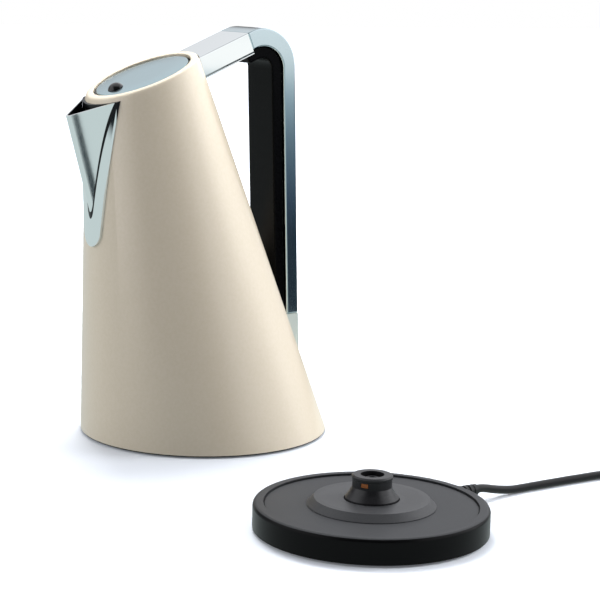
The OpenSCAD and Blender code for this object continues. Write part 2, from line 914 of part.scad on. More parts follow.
module lid_gasket() {
    color("gray") on_rim() intersection() {
        ring(pan_r + fit, gasket_r, -lid_under - gasket_depth - gasket_h, -lid_under - gasket_depth);
        translate([-far, -far / 2, -far / 2]) cube([far + pan_cut_s, far, far]);
    }
}

module lid_knob() {
    ball_r = (knob_r * knob_r + knob_h * knob_h) / (2 * knob_h);
    stem = lid_t + 1.2;
    color("black") on_rim() translate([-knob_offset, 0, -lid_recess]) difference() {
        union() {
            intersection() {
                translate([0, 0, knob_h - ball_r]) sphere(r = ball_r);
                cylinder(h = knob_h + 1, r = knob_r + 1);
            }
            translate([0, 0, -stem]) cylinder(h = stem + 0.5, r = screw_r - fit / 2);
        }
        translate([0, 0, -stem - 1]) cylinder(h = stem + 3, r = 1);
    }
}

module knob_screw() {
    color("silver") on_rim() translate([-knob_offset, 0, -lid_under]) {
        translate([0, 0, -3]) cylinder(h = 1.6, r = 2.6);
        translate([0, 0, -1.5]) cylinder(h = 4, r = 1 - fit / 2);
    }
}

// ---------- Power base ----------

module on_base() {
    translate([base_x, base_y, 0]) children();
}

module base_shell() {
    corner = 2.5;
    inner = base_r - base_wall;
    lead_hole_r = cord_r + 2.3;
    color("black") on_base() difference() {
        union() {
            rotate_extrude() difference() {
                union() {
                    translate([0, base_lift]) square([base_r, base_h - base_lift - corner]);
                    translate([0, base_lift]) square([base_r - corner, base_h - base_lift]);
                    translate([base_r - corner, base_h - corner]) circle(r = corner);
                }
                translate([-1, seat_z]) square([groove_r + 1, seat_drop + 1]);
                translate([groove_r, seat_z - 0.4]) circle(r = 0.9, $fn = 32);
                translate([-1, 0]) square([inner + 1, seat_z - base_wall]);
                translate([-1, 0]) square([hub_r - 2.5, far]);
            }
            around(3, base_screw_ring_r, base_screw_angle) translate([0, 0, bottom_top])
                cylinder(h = seat_z - base_wall - bottom_top + eps, r = boss_r);
        }
        around(3, base_screw_ring_r, base_screw_angle)
            cylinder(h = seat_z - 2 * base_wall, r = cover_screw_r);
        rotate([0, 0, exit_angle]) translate([inner - 1, 0, exit_z]) rotate([0, 90, 0])
            cylinder(h = 10, r = lead_hole_r);
    }
}

module base_hub() {
    rim_t = 1.2;
    color("#3a3a3c") on_base() rotate_extrude() difference() {
        polygon([
            [skirt_r + 0.6, seat_z], [hub_r, seat_z], [hub_r, seat_z + 0.5], [hub_top_r + 0.6, hub_top_z],
            [hub_top_r - 3, hub_top_z], [skirt_r + 4, hub_top_z - 0.6], [skirt_r + 0.6, hub_top_z - 0.6],
        ]);
        polygon([
            [0, seat_z - 1], [hub_r - 2 * rim_t, seat_z - 1], [hub_r - 2 * rim_t, seat_z],
            [hub_top_r - rim_t, hub_top_z - base_wall], [0, hub_top_z - base_wall],
        ]);
    }
}

module connector_post() {
    lip = 0.4;
    flare = 5;
    color("#202022") on_base() difference() {
        union() {
            rotate_extrude() difference() {
                union() {
                    translate([0, post_flange_bottom]) square([post_flange_r, 2.5 - fit]);
                    translate([0, post_flange_bottom]) square([skirt_r, hub_top_z - post_flange_bottom]);
                    polygon([
                        [0, hub_top_z - 1], [skirt_r, hub_top_z], [skirt_r, hub_top_z + 0.3],
                        [post_r + 1.6, hub_top_z + flare - 1], [post_r, post_foot_z],
                        [post_r, post_top - 2.4], [post_r + lip, post_top - 2],
                        [post_r + lip, post_top - 0.9],
                        [post_r - 0.5, post_top], [0, post_top],
                    ]);
                }
                translate([0, contact_z]) square([post_hole_r, far]);
            }
            ring(core_hole_r, core_r, contact_z - 1, post_top - 2);
        }
        translate([0, 0, contact_z - 5]) cylinder(h = far, r = core_hole_r);
        earth_places() cube([4, 5, 3], center = true);
    }
}

module earth_places() {
    for (i = [0 : 2])
        rotate([0, 0, earth_angle + 120 * i])
            translate([post_r - 1.6, 0, post_top - 4.6]) children();
}

module ring_contact() {
    color("gold") on_base() ring(post_hole_r - 0.7, post_hole_r - fit / 2, contact_z, post_top - 3.5);
}

module centre_contact() {
    color("gold") on_base() ring(core_hole_r - 0.5, core_hole_r - fit / 2, contact_z - 4.9, post_top - 4);
}

module earth_contacts() {
    color("#b87333") on_base() earth_places() translate([0.3, 0, 0]) cube([1.8, 4.4, 2.4], center = true);
}

module base_bottom() {
    color("black") on_base() difference() {
        translate([0, 0, base_lift]) cylinder(h = bottom_t, r = base_r - base_wall - fit);
        around(4, pad_ring_r, pad_angle) translate([0, 0, -1]) cylinder(h = pad_top + 1, r = pad_r + fit);
        around(3, base_screw_ring_r, base_screw_angle) {
            cylinder(h = far, r = cover_screw_r + fit, center = true);
            translate([0, 0, -1]) cylinder(h = base_lift + 2.2, r = cover_screw_head_r + fit);
        }
    }
}

module base_feet() {
    color("dimgray") on_base() around(4, pad_ring_r, pad_angle) cylinder(h = pad_top, r = pad_r);
}

module base_screws() {
    color("silver") on_base() around(3, base_screw_ring_r, base_screw_angle) {
        translate([0, 0, base_lift + 0.2]) cylinder(h = 1, r = cover_screw_head_r);
        translate([0, 0, base_lift + 1])
            cylinder(h = seat_z - 2 * base_wall - base_lift - 1.5, r = cover_screw_r - fit);
    }
}

module terminal_block() {
    color("ivory") on_base() translate([-12, -10, bottom_top])
        cube([24, 20, post_flange_bottom - bottom_top]);
}

module lead_wires() {
    wire_r = 1.1;
    start = 12 + fit;
    end = relief_start - 10;
    for (i = [-1 : 1])
        color(["sienna", "green", "royalblue"][i + 1]) on_base() rotate([0, 0, exit_angle])
            translate([start / cos(exit_angle) + 0.8, i * 2.6, exit_z]) rotate([0, 90, 0])
                cylinder(h = end - start / cos(exit_angle) - 0.8, r = wire_r);
}

module cord_clamp() {
    color("black") on_base() rotate([0, 0, exit_angle])
        translate([relief_start - 10, -8, bottom_top]) cube([8, 16, exit_z + 5 - bottom_top]);
}

module strain_relief() {
    end = base_r + relief_len;
    color("#1c1c1e") on_base() rotate([0, 0, exit_angle]) translate([0, 0, exit_z]) rotate([0, 90, 0]) {
        difference() {
            union() {
                translate([0, 0, relief_start - 2])
                    cylinder(h = base_r - relief_start + 2 + eps, r = cord_r + 2.2);
                translate([0, 0, base_r + 0.4]) cylinder(h = 1.8, r = cord_r + 3.6);
                translate([0, 0, base_r]) cylinder(h = end - base_r, r1 = cord_r + 2.4, r2 = cord_r + 0.9);
            }
            for (i = [0 : 3])
                translate([0, 0, base_r + 5 + 4 * i]) ring(cord_r + 0.8, far / 10, 0, 1.6);
        }
    }
}

// Rings of the lead's tube: each across the route's direction at its point
function unit(v) = v / norm(v);
function route_dir(p, i) = unit(p[min(i + 1, len(p) - 1)] - p[max(i - 1, 0)]);
function tube_ring(c, d, r, sides) =
    let (u = unit(cross([0, 0, 1], d)), w = cross(d, u))
    [for (k = [0 : sides - 1]) c + r * (cos(360 * k / sides) * u + sin(360 * k / sides) * w)];

module tube_along(p, r, sides = 12) {
    n = len(p);
    points = [for (i = [0 : n - 1]) each tube_ring(p[i], route_dir(p, i), r, sides)];
    walls = [
        for (i = [0 : n - 2], k = [0 : sides - 1])
            let (next = (k + 1) % sides)
            [i * sides + k, i * sides + next, (i + 1) * sides + next, (i + 1) * sides + k]
    ];
    ends = [
        [for (k = [sides - 1 : -1 : 0]) k],
        [for (k = [0 : sides - 1]) (n - 1) * sides + k],
    ];
    polyhedron(points, concat([for (w = walls) [w[3], w[2], w[1], w[0]]],
                              [for (e = ends) [for (k = [len(e) - 1 : -1 : 0]) e[k]]]));
}

module cord_tube() {
    color("#1c1c1e") tube_along(CORD_ROUTE, cord_r);
    color("#1c1c1e") tube_along(CORD_TAIL, cord_r);
}

module cord_coil() {
    color("#1c1c1e") translate([coil_x, coil_y, 0]) ring(coil_inner_r, coil_outer_r, coil_lift, coil_top);
}

module cord_tie() {
    tie_w = 8;
    tie_t = 0.7;
    gap = 0.05;
    r0 = sqrt(coil_inner_r * coil_inner_r - tie_w * tie_w / 4) - gap;
    r1 = coil_outer_r + 0.3;
    color("dimgray") translate([coil_x, coil_y, 0]) rotate([0, 0, 20]) difference() {
        translate([r0 - tie_t, -tie_w / 2, 0]) cube([r1 - r0 + 2 * tie_t, tie_w, coil_top + gap + tie_t]);
        translate([r0, -tie_w, tie_t]) cube([r1 - r0, 2 * tie_w, coil_top + gap - tie_t]);
    }
}

module on_plug() {
    translate([plug_x, plug_y, 0]) children();
}

module plug_body() {
    edge = 2;
    face_r = plug_r - 1;
    color("#1c1c1e") on_plug() difference() {
        union() {
            cylinder(h = edge, r1 = plug_r - edge, r2 = plug_r);
            translate([0, 0, edge - eps]) cylinder(h = plug_h - edge + eps, r = plug_r);
            translate([0, 0, plug_h - eps]) cylinder(h = 1, r1 = plug_r, r2 = face_r);
            translate([plug_r - 3, 0, tail_z]) rotate([0, 90, 0])
                cylinder(h = tail_len + 2.5, r1 = tail_z - 0.5, r2 = cord_r + 1);
        }
        for (s = [-1, 1])
            translate([s * plug_r, 0, plug_h / 2]) cube([5, 7, plug_h + 10], center = true);
        plug_pin_places() translate([0, 0, plug_h - 8]) cylinder(h = 12, r = 2.4 + fit / 2);
    }
}

module plug_pin_places() {
    spacing = 19;
    for (s = [-1, 1]) translate([0, s * spacing / 2, 0]) children();
}

module plug_pins() {
    color("silver") on_plug() plug_pin_places() {
        translate([0, 0, plug_h - 8]) cylinder(h = plug_pin_len + 8, r = 2.4);
        translate([0, 0, plug_h + plug_pin_len - eps]) cylinder(h = 1, r1 = 2.4, r2 = 1.4);
    }
}

module plug_earth_clips() {
    color("silver") on_plug() for (s = [-1, 1])
        translate([s * (plug_r - 2), 0, plug_h - 5]) cube([0.8, 4, 11], center = true);
}

in_place() body_shell();
in_place() rim_seat();
in_place() water_vessel();
in_place() spout();
in_place() spout_flange();
in_place() spout_seal();
in_place() spout_strainer();
in_place() heater_plate();
in_place() heat_spreader();
in_place() heating_element();
in_place() thermostat_control();
in_place() socket_contacts();
in_place() steam_tube();
in_place() bottom_cover();
in_place() kettle_feet();
in_place() cover_screws();
in_place() handle_block();
in_place() block_underplate();
in_place() handle_frame();
in_place() handle_grip();
in_place() lower_bracket();
in_place() handle_screws();
in_place() switch_pin();
in_place() switch_body();
in_place() indicator_lens();
in_place() hinge_pin();
in_place() lid_plate();
in_place() lid_pan();
in_place() lid_gasket();
in_place() lid_knob();
in_place() knob_screw();
in_place() switch_rocker();
in_place() base_shell();
in_place() base_hub();
in_place() connector_post();
in_place() ring_contact();
in_place() centre_contact();
in_place() earth_contacts();
in_place() base_bottom();
in_place() base_feet();
in_place() base_screws();
in_place() terminal_block();
in_place() lead_wires();
in_place() cord_clamp();
in_place() strain_relief();
in_place() cord_tube();
in_place() cord_coil();
in_place() cord_tie();
in_place() plug_body();
in_place() plug_pins();
in_place() plug_earth_clips();
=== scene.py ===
"""An electric kettle in a leaning cone shape, standing beside its corded power base."""

import math

import bmesh
import bpy
from mathutils import Matrix, Vector


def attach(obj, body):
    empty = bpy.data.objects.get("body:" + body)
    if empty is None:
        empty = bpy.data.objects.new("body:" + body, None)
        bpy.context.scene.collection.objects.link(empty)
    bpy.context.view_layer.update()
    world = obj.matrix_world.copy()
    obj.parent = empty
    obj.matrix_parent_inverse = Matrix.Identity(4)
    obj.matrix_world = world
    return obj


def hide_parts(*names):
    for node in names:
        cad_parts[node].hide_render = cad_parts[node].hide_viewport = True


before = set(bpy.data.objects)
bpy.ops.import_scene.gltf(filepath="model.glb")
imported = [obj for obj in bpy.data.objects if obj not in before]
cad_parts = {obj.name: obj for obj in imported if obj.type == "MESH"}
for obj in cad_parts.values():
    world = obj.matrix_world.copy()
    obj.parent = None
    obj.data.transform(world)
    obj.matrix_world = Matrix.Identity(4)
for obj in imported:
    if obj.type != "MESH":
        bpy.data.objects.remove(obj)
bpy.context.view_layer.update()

# ---------------------------------------------------------------- Camera
# A long lens a little above the rim, turned so that the spout points left and towards the viewer.
# KETTLE is the middle of the kettle's foot on the surface.

KETTLE = Vector((0.011489, 0.122788, 0))
VIEW_AZIMUTH = -34
VIEW_ELEVATION = 10.18
VIEW_ROLL = 1.5
VIEW_DISTANCE = 1.3
VIEW_TARGET = KETTLE + Vector((0.0564, -0.03805, 0.0966))


def turn(axis, degrees):
    """Rotation about the named axis."""
    return Matrix.Rotation(math.radians(degrees), 4, axis)


camera_data = bpy.data.cameras.new("camera")
camera_data.sensor_fit = "HORIZONTAL"
camera_data.sensor_width = 36
camera_data.lens = 107.8
camera_data.clip_end = 20
camera = bpy.data.objects.new("camera", camera_data)
camera.matrix_world = (
    Matrix.Translation(VIEW_TARGET)
    @ turn("Z", VIEW_AZIMUTH)
    @ turn("X", 90 - VIEW_ELEVATION)
    @ turn("Z", VIEW_ROLL)
    @ Matrix.Translation((0, 0, VIEW_DISTANCE))
)
bpy.context.scene.collection.objects.link(camera)
bpy.context.scene.camera = camera
bpy.context.scene.view_settings.view_transform = "Standard"

# ---------------------------------------------------------------- Mains lead
# Three-core flexible cord in a black rubber sheath, 5.5 mm thick. It comes out of the strain relief,
# drops to the surface and runs to a coil of two layers, held by a tie; its end goes into the plug.


def linear(hexed):
    """Linear colour of an sRGB hex value."""
    parts = [int(hexed[i:i + 2], 16) / 255 for i in (0, 2, 4)]
    return tuple(c / 12.92 if c <= 0.04045 else ((c + 0.055) / 1.055) ** 2.4 for c in parts) + (1,)


def add_node(tree, kind, settings=(), links=()):
    """One node; settings are its attributes or inputs by name, links join its inputs to sockets."""
    made = tree.nodes.new("ShaderNode" + kind)
    for key, value in dict(settings).items():
        if isinstance(key, str) and hasattr(made, key):
            setattr(made, key, value)
        else:
            made.inputs[key].default_value = value
    for key, socket in dict(links).items():
        tree.links.new(made.inputs[key], socket)
    return made


def new_finish(name, colour, roughness, metallic=0.0, **sockets):
    """A material with its Principled shader set."""
    finish = bpy.data.materials.new(name)
    finish.use_nodes = True
    shader = finish.node_tree.nodes["Principled BSDF"]
    shader.inputs["Base Color"].default_value = linear(colour)
    shader.inputs["Roughness"].default_value = roughness
    shader.inputs["Metallic"].default_value = metallic
    for key, value in sockets.items():
        shader.inputs[key.replace("_", " ")].default_value = value
    return finish


def grain(finish, size_mm, depth_mm=0.0, stretch=(1, 1, 1), rough=None, tint=None):
    """Unevenness with grains of size_mm: relief, and with it a spread of roughness and of colour."""
    tree = finish.node_tree
    shader = tree.nodes["Principled BSDF"]
    place = add_node(tree, "TexCoord").outputs["Object"]
    mapped = add_node(tree, "Mapping", {"Scale": stretch}, {"Vector": place}).outputs["Vector"]
    noise = add_node(tree, "TexNoise", {"Scale": 1000 / size_mm, "Detail": 3.0}, {"Vector": mapped})
    speck = noise.outputs["Fac"]
    if depth_mm:
        bump = add_node(tree, "Bump", {"Distance": depth_mm / 1000, "Strength": 1.0}, {"Height": speck})
        tree.links.new(shader.inputs["Normal"], bump.outputs["Normal"])
    if rough:
        spread = add_node(tree, "MapRange", {"To Min": rough[0], "To Max": rough[1]}, {"Value": speck})
        tree.links.new(shader.inputs["Roughness"], spread.outputs["Result"])
    if tint:
        # nearly all of the noise lies between these two positions
        ramp = add_node(tree, "ValToRGB", {}, {"Fac": speck})
        for mark, position, colour in zip(ramp.color_ramp.elements, (0.35, 0.65), tint):
            mark.position = position
            mark.color = linear(colour)
        tree.links.new(shader.inputs["Base Color"], ramp.outputs["Color"])
    return speck


# extruded rubber sheath: dull black with a faint satin sheen and slight unevenness along it
sheath = new_finish("extruded_rubber_sheath", "0b0b0c", 0.4, Specular_IOR_Level=0.35)
grain(sheath, 0.9, 0.02, rough=(0.32, 0.46), tint=("09090a", "0f0f11"))

CORD_D = 0.0055
# middle line of the lead in millimetres from the kettle's middle: from the relief down to the coil
FREE_RUN = [
    (53.35, -247.37, 8.6), (57.3, -246.75, 8.6), (62.5, -246, 7.8), (69, -245.3, 6.2), (77, -244.7, 4.5),
    (86, -244.3, 3.2), (95, -244, 2.8), (105, -243.9, 2.8), (116, -243.9, 2.8), (127, -244, 2.8),
    (138, -244.2, 2.8), (149, -244.5, 2.8), (160, -244.8, 2.8), (171, -245.1, 2.9), (182, -245.25, 3.2),
    (193, -245.35, 3.5), (204, -245.4, 3.55),
]
# and from the coil into the plug
TAIL_RUN = [(206, -322.5, 8.3), (200, -322.5, 7.6), (194, -322.5, 7), (188, -322.5, 7)]
COIL_MIDDLE = (212, -284)
COIL_OUTER_R = 38.6
COIL_INNER_R = 27.6
LOWER_LAYER = 3.55
UPPER_LAYER = 9.05
TURNS_IN = 2.0
TURNS_OUT = 1.5
STEPS_PER_TURN = 18
CLIMB_TURNS = 0.5
END_TURNS = 0.25
END_DROP = 0.45


def coil_point(turns):
    """Point of the coil: inwards in the lower layer, then outwards again on top of it."""
    if turns < TURNS_IN:
        share = turns / TURNS_IN
    else:
        share = 1 - (turns - TURNS_IN) / TURNS_OUT
    radius = COIL_OUTER_R + (COIL_INNER_R - COIL_OUTER_R) * share
    rise = min(1, max(0, (turns - TURNS_IN + CLIMB_TURNS / 2) / CLIMB_TURNS))
    height = LOWER_LAYER + (UPPER_LAYER - LOWER_LAYER) * rise * rise * (3 - 2 * rise)
    height -= END_DROP * max(0, turns - TURNS_IN - TURNS_OUT + END_TURNS) / END_TURNS
    angle = math.radians(90 - 360 * turns)
    return (
        COIL_MIDDLE[0] + radius * math.cos(angle),
        COIL_MIDDLE[1] + radius * math.sin(angle),
        height,
    )


coil_steps = round((TURNS_IN + TURNS_OUT) * STEPS_PER_TURN)
coil_run = [coil_point(i / STEPS_PER_TURN) for i in range(coil_steps + 1)]
route = [KETTLE + Vector(point) / 1000 for point in FREE_RUN + coil_run + TAIL_RUN]

lead_curve = bpy.data.curves.new("mains_lead", "CURVE")
lead_curve.dimensions = "3D"
lead_curve.bevel_depth = CORD_D / 2
lead_curve.bevel_resolution = 4
lead_curve.resolution_u = 4
lead_curve.use_fill_caps = True
spline = lead_curve.splines.new("BEZIER")
spline.bezier_points.add(len(route) - 1)
for point, at in zip(spline.bezier_points, route):
    point.co = at
    point.handle_left_type = point.handle_right_type = "AUTO"
lead_curve.materials.append(sheath)
mains_lead = bpy.data.objects.new("mains_lead", lead_curve)
bpy.context.scene.collection.objects.link(mains_lead)
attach(mains_lead, "power_base")
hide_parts("cord_tube", "cord_coil")

# ---------------------------------------------------------------- Studio
# Pale paper floor before a white background, in a dim room with soft boxes on the right, the left, behind
# and overhead. Cards laid on the floor, and a pale floor, are there for polished parts to mirror.

FLOOR_HALF = 9
CARD_HEIGHT = 0.001


def add_sheet(name, corners, height, finish):
    """Flat sheet with its corners in order, counter-clockwise: part of the stage."""
    shape = bmesh.new()
    shape.faces.new([shape.verts.new((x, y, height)) for x, y in corners])
    mesh = bpy.data.meshes.new(name)
    shape.to_mesh(mesh)
    shape.free()
    mesh.materials.append(finish)
    sheet = bpy.data.objects.new(name, mesh)
    bpy.context.scene.collection.objects.link(sheet)
    return sheet


def new_tree(holder):
    """The holder's node tree, emptied."""
    holder.use_nodes = True
    holder.node_tree.nodes.clear()
    return holder.node_tree


def either(tree, question, no, yes):
    """Mix of two shaders by what the light path answers."""
    answer = add_node(tree, "LightPath").outputs[question]
    return add_node(tree, "MixShader", {}, {"Fac": answer, 1: no.outputs[0], 2: yes.outputs[0]})


# white paper: seen by the camera it glows more with distance, so that its far part is clean white;
# mirrors see it as an even pale card, and it throws little light back on the pieces above it
paper = bpy.data.materials.new("studio_paper")
tree = new_tree(paper)
place = add_node(tree, "TexCoord").outputs["Object"]
away = add_node(tree, "VectorMath", {"operation": "LENGTH"}, {0: place}).outputs["Value"]
fade = add_node(tree, "MapRange", {"From Min": 0.3, "From Max": 0.8, "To Min": 0.1}, {"Value": away})
diffuse = add_node(tree, "BsdfDiffuse", {"Color": linear("dadfe6")})
glow = add_node(tree, "Emission", {"Color": linear("f4f7ff")}, {"Strength": fade.outputs[0]})
lit = add_node(tree, "AddShader", {}, {0: diffuse.outputs[0], 1: glow.outputs[0]})
dim = add_node(tree, "BsdfDiffuse", {"Color": linear("77797b")})
pale = add_node(tree, "Emission", {"Color": linear("d2dede"), "Strength": 0.95})
unseen = either(tree, "Is Glossy Ray", dim, pale)
seen = either(tree, "Is Camera Ray", unseen, lit)
add_node(tree, "OutputMaterial", {}, {"Surface": seen.outputs[0]})
floor_corners = [(FLOOR_HALF * x, FLOOR_HALF * y) for x, y in ((-1, -1), (1, -1), (1, 1), (-1, 1))]
add_sheet("floor", floor_corners, 0, paper)

# each soft box: azimuth, elevation and half angle in degrees, and strength; full within CORE of the half
SOFT_BOXES = [(-40, 14, 50, 1.25), (160, 12, 46, 0.95), (12, 16, 46, 0.7), (62, 62, 60, 0.9)]
CORE = 0.55
ROOM_LIGHT = 0.06
world = bpy.data.worlds.new("studio")
bpy.context.scene.world = world
tree = new_tree(world)
direction = add_node(tree, "TexCoord").outputs["Generated"]
room = add_node(tree, "Value").outputs[0]
room.default_value = ROOM_LIGHT
for azimuth, elevation, half_angle, strength in SOFT_BOXES:
    aim = turn("Z", azimuth) @ turn("Y", -elevation) @ Vector((1, 0, 0))
    along = add_node(tree, "VectorMath", {"operation": "DOT_PRODUCT", 1: aim}, {0: direction})
    box = add_node(tree, "MapRange", {
        "interpolation_type": "SMOOTHSTEP",
        "From Min": math.cos(math.radians(half_angle)),
        "From Max": math.cos(math.radians(half_angle * CORE)),
        "To Max": strength,
    }, {"Value": along.outputs["Value"]})
    room = add_node(tree, "Math", {"operation": "ADD"}, {0: room, 1: box.outputs[0]}).outputs[0]
soft = add_node(tree, "Background", {"Color": linear("fafbff")}, {"Strength": room})
white = add_node(tree, "Background", {"Color": (1, 1, 1, 1), "Strength": 1.0})
seen = either(tree, "Is Camera Ray", soft, white)
add_node(tree, "OutputWorld", {}, {"Surface": seen.outputs[0]})


def add_card(name, corners, stops):
    """Card on the floor that only mirrors see; stops are its colours by distance in metres."""
    card = bpy.data.materials.new(name)
    tree = new_tree(card)
    place = add_node(tree, "TexCoord").outputs["Object"]
    away = add_node(tree, "VectorMath", {"operation": "LENGTH"}, {0: place}).outputs["Value"]
    reach = stops[-1][0]
    share = add_node(tree, "Math", {"operation": "DIVIDE", 1: reach}, {0: away})
    ramp = add_node(tree, "ValToRGB", {}, {"Fac": share.outputs[0]})
    marks = ramp.color_ramp.elements
    while len(marks) < len(stops):
        marks.new(1.0)
    for mark, (distance, colour) in zip(marks, stops):
        mark.position = distance / reach
        mark.color = linear(colour)
    light = add_node(tree, "Emission", {"Strength": 1.1}, {"Color": ramp.outputs["Color"]})
    add_node(tree, "OutputMaterial", {}, {"Surface": light.outputs[0]})
    sheet = add_sheet(name, corners, CARD_HEIGHT, card)
    sheet.visible_camera = False
    sheet.visible_diffuse = False
    sheet.visible_transmission = False
    sheet.visible_shadow = False


# a long card that the bow mirrors, dark near the base and white far off, and a dark one beside it
add_card("card_right", [(0.3, -8), (8, -8), (8, -6.5), (0.35, -0.2), (0.3, -0.2)], [
    (0.2, "29333b"), (1.0, "2c3742"), (1.4, "415063"), (2.2, "647784"), (3.3, "92a4b0"),
    (4.3, "b2c6cd"), (5.2, "ffffff"),
])
add_card("card_side", [(0.35, -0.2), (8, -6.5), (8, 4), (0.35, 4)], [(0.2, "1b2228"), (8, "232b31")])
# one on the left that gives the spout its dark band, and a narrow strip for the spout's nose
add_card("card_left", [(-8, -3), (-2.5, -3), (-2.5, 4), (-8, 4)], [
    (2.6, "c6d2d3"), (3.4, "12171b"), (8, "12171b"),
])
add_card("card_nose", [(-0.5135, -0.2080), (-0.5095, -0.2126), (-0.3200, -0.0826), (-0.3240, -0.0780)], [
    (0.2, "30393d"), (1, "30393d"),
])

LAMPS_AIM = Vector((0, 0, 0.12))


def add_lamp(name, at, size, power):
    """Square soft lamp aimed at the middle of the set, unseen in mirrors."""
    data = bpy.data.lights.new(name, "AREA")
    data.size = size
    data.energy = power
    lamp = bpy.data.objects.new(name, data)
    lamp.location = at
    lamp.rotation_euler = (Vector(at) - LAMPS_AIM).to_track_quat("Z", "Y").to_euler()
    lamp.visible_glossy = False
    bpy.context.scene.collection.objects.link(lamp)


add_lamp("right_lamp", (1.3, -0.75, 1.0), size=0.8, power=17.5)
add_lamp("left_lamp", (-1.5, 0.45, 0.6), size=0.8, power=7)
add_lamp("top_lamp", (0.25, 0.6, 1.5), size=0.6, power=26)

# ---------------------------------------------------------------- Body of the kettle
# Cone of deep-drawn steel sheet, 1.2 mm thick, its axis leaning to the spout. The mouth is cut at a slope
# and its edge is rolled inwards. Stove-enamelled cream, with the spout's window cut through the front.

LEAN = 11
TAPER = 10.25
RIM_TILT = 23
FOOT_HALF = 0.090
RIM_HEIGHT = 0.281
RIM_HALF_W = 0.0407
MOUTH_R = 0.0356
SHELL_WALL = 0.0012
SHELL_LIFT = 0.002
WALL_SIDES = 192
# distances along the axis from the cone's apex to the ends of the blank that the wall is cut from
BLANK_NEAR = 0.1
BLANK_FAR = 0.56
# points nearer than this are one point
MERGE = 1e-6

front_slope = math.tan(math.radians(LEAN - TAPER))
back_slope = math.tan(math.radians(LEAN + TAPER))
rim_rise = math.tan(math.radians(RIM_TILT))
apex_z = 2 * FOOT_HALF / (back_slope - front_slope)
apex = KETTLE + Vector((-FOOT_HALF - front_slope * apex_z, 0, apex_z))
rim_front = (-FOOT_HALF - front_slope * RIM_HEIGHT) / (1 + front_slope * rim_rise)
rim_back = (FOOT_HALF - back_slope * RIM_HEIGHT) / (1 + back_slope * rim_rise)
rim_x = (rim_front + rim_back) / 2
rim_place = (
    Matrix.Translation(KETTLE + Vector((rim_x, 0, RIM_HEIGHT + rim_rise * rim_x))) @ turn("Y", -RIM_TILT)
)
rim_normal = rim_place.to_3x3() @ Vector((0, 0, 1))


def rim_point(depth):
    """Point on the rim's axis, that deep below its plane."""
    return rim_place @ Vector((0, 0, -depth))


def cone_wall(shape, inward, low, depth):
    """Open cone wall, inward of the shell's outside, from height low to depth below the rim: end edges."""
    spread = math.tan(math.radians(TAPER))
    slide = inward / math.sin(math.radians(TAPER))
    middle = Matrix.Translation((0, 0, -slide - (BLANK_FAR + BLANK_NEAR) / 2))
    made = bmesh.ops.create_cone(
        shape, segments=WALL_SIDES, radius1=BLANK_FAR * spread, radius2=BLANK_NEAR * spread,
        depth=BLANK_FAR - BLANK_NEAR, matrix=Matrix.Translation(apex) @ turn("Y", -LEAN) @ middle,
    )["verts"]
    ends = []
    for at, normal in ((Vector((0, 0, low)), Vector((0, 0, -1))), (rim_point(depth), rim_normal)):
        made = [v for v in made if v.is_valid]
        faces = {f for v in made for f in v.link_faces}
        edges = {e for v in made for e in v.link_edges}
        cut = bmesh.ops.bisect_plane(
            shape, geom=[*made, *edges, *faces], plane_co=at, plane_no=normal, clear_outer=True,
        )["geom_cut"]
        made += [v for v in cut if isinstance(v, bmesh.types.BMVert)]
        ends.append([e for e in cut if isinstance(e, bmesh.types.BMEdge)])
    return ends


def extrude_ring(shape, edges, place, old, new):
    """Extrudes a ring of edges; old and new are its middle along x, half length, half width and height."""
    made = bmesh.ops.extrude_edge_only(shape, edges=edges)["geom"]
    points = {v for v in made if isinstance(v, bmesh.types.BMVert)}
    step = (
        Matrix.Translation((new[0], 0, new[3]))
        @ Matrix.Diagonal((new[1] / old[1], new[2] / old[2], 1, 1))
        @ Matrix.Translation((-old[0], 0, -old[3]))
    )
    bmesh.ops.transform(shape, matrix=place @ step @ place.inverted(), verts=list(points))
    return [e for e in made if isinstance(e, bmesh.types.BMEdge) and set(e.verts) <= points]


def around(points):
    """Points of a ring in order of angle; the nudge keeps the frontmost one at the same end of each ring."""
    nudge = 1e-5
    middle = sum((v.co for v in points), Vector()) / len(points)
    return sorted(points, key=lambda v: math.atan2(v.co.y - middle.y + nudge, v.co.x - middle.x))


def join_rings(shape, outer, inner):
    """Faces between two rings of edges that have as many points."""
    rings = [around({v for e in edges for v in e.verts}) for edges in (outer, inner)]
    for i in range(len(rings[0])):
        shape.faces.new((rings[0][i - 1], rings[0][i], rings[1][i], rings[1][i - 1]))


def add_piece(shape, name, finish, body, nodes, sharp=35, bevel=None, flat_over=None):
    """Finished object from a bmesh; faces larger than flat_over are flat, edges over sharp degrees crisp."""
    bmesh.ops.remove_doubles(shape, verts=shape.verts, dist=MERGE)
    bmesh.ops.recalc_face_normals(shape, faces=shape.faces)
    smooth = [flat_over is None or face.calc_area() < flat_over for face in shape.faces]
    mesh = bpy.data.meshes.new(name)
    shape.to_mesh(mesh)
    shape.free()
    mesh.set_sharp_from_angle(angle=math.radians(sharp))
    mesh.polygons.foreach_set("use_smooth", smooth)
    mesh.materials.append(finish)
    piece = bpy.data.objects.new(name, mesh)
    bpy.context.scene.collection.objects.link(piece)
    if bevel:
        rounding = piece.modifiers.new("rounding", "BEVEL")
        rounding.width = bevel
        rounding.segments = 3
        rounding.limit_method = "ANGLE"
        rounding.angle_limit = math.radians(sharp)
        rounding.use_clamp_overlap = True
        rounding.harden_normals = True
    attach(piece, body)
    if nodes:
        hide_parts(*nodes)
    return piece


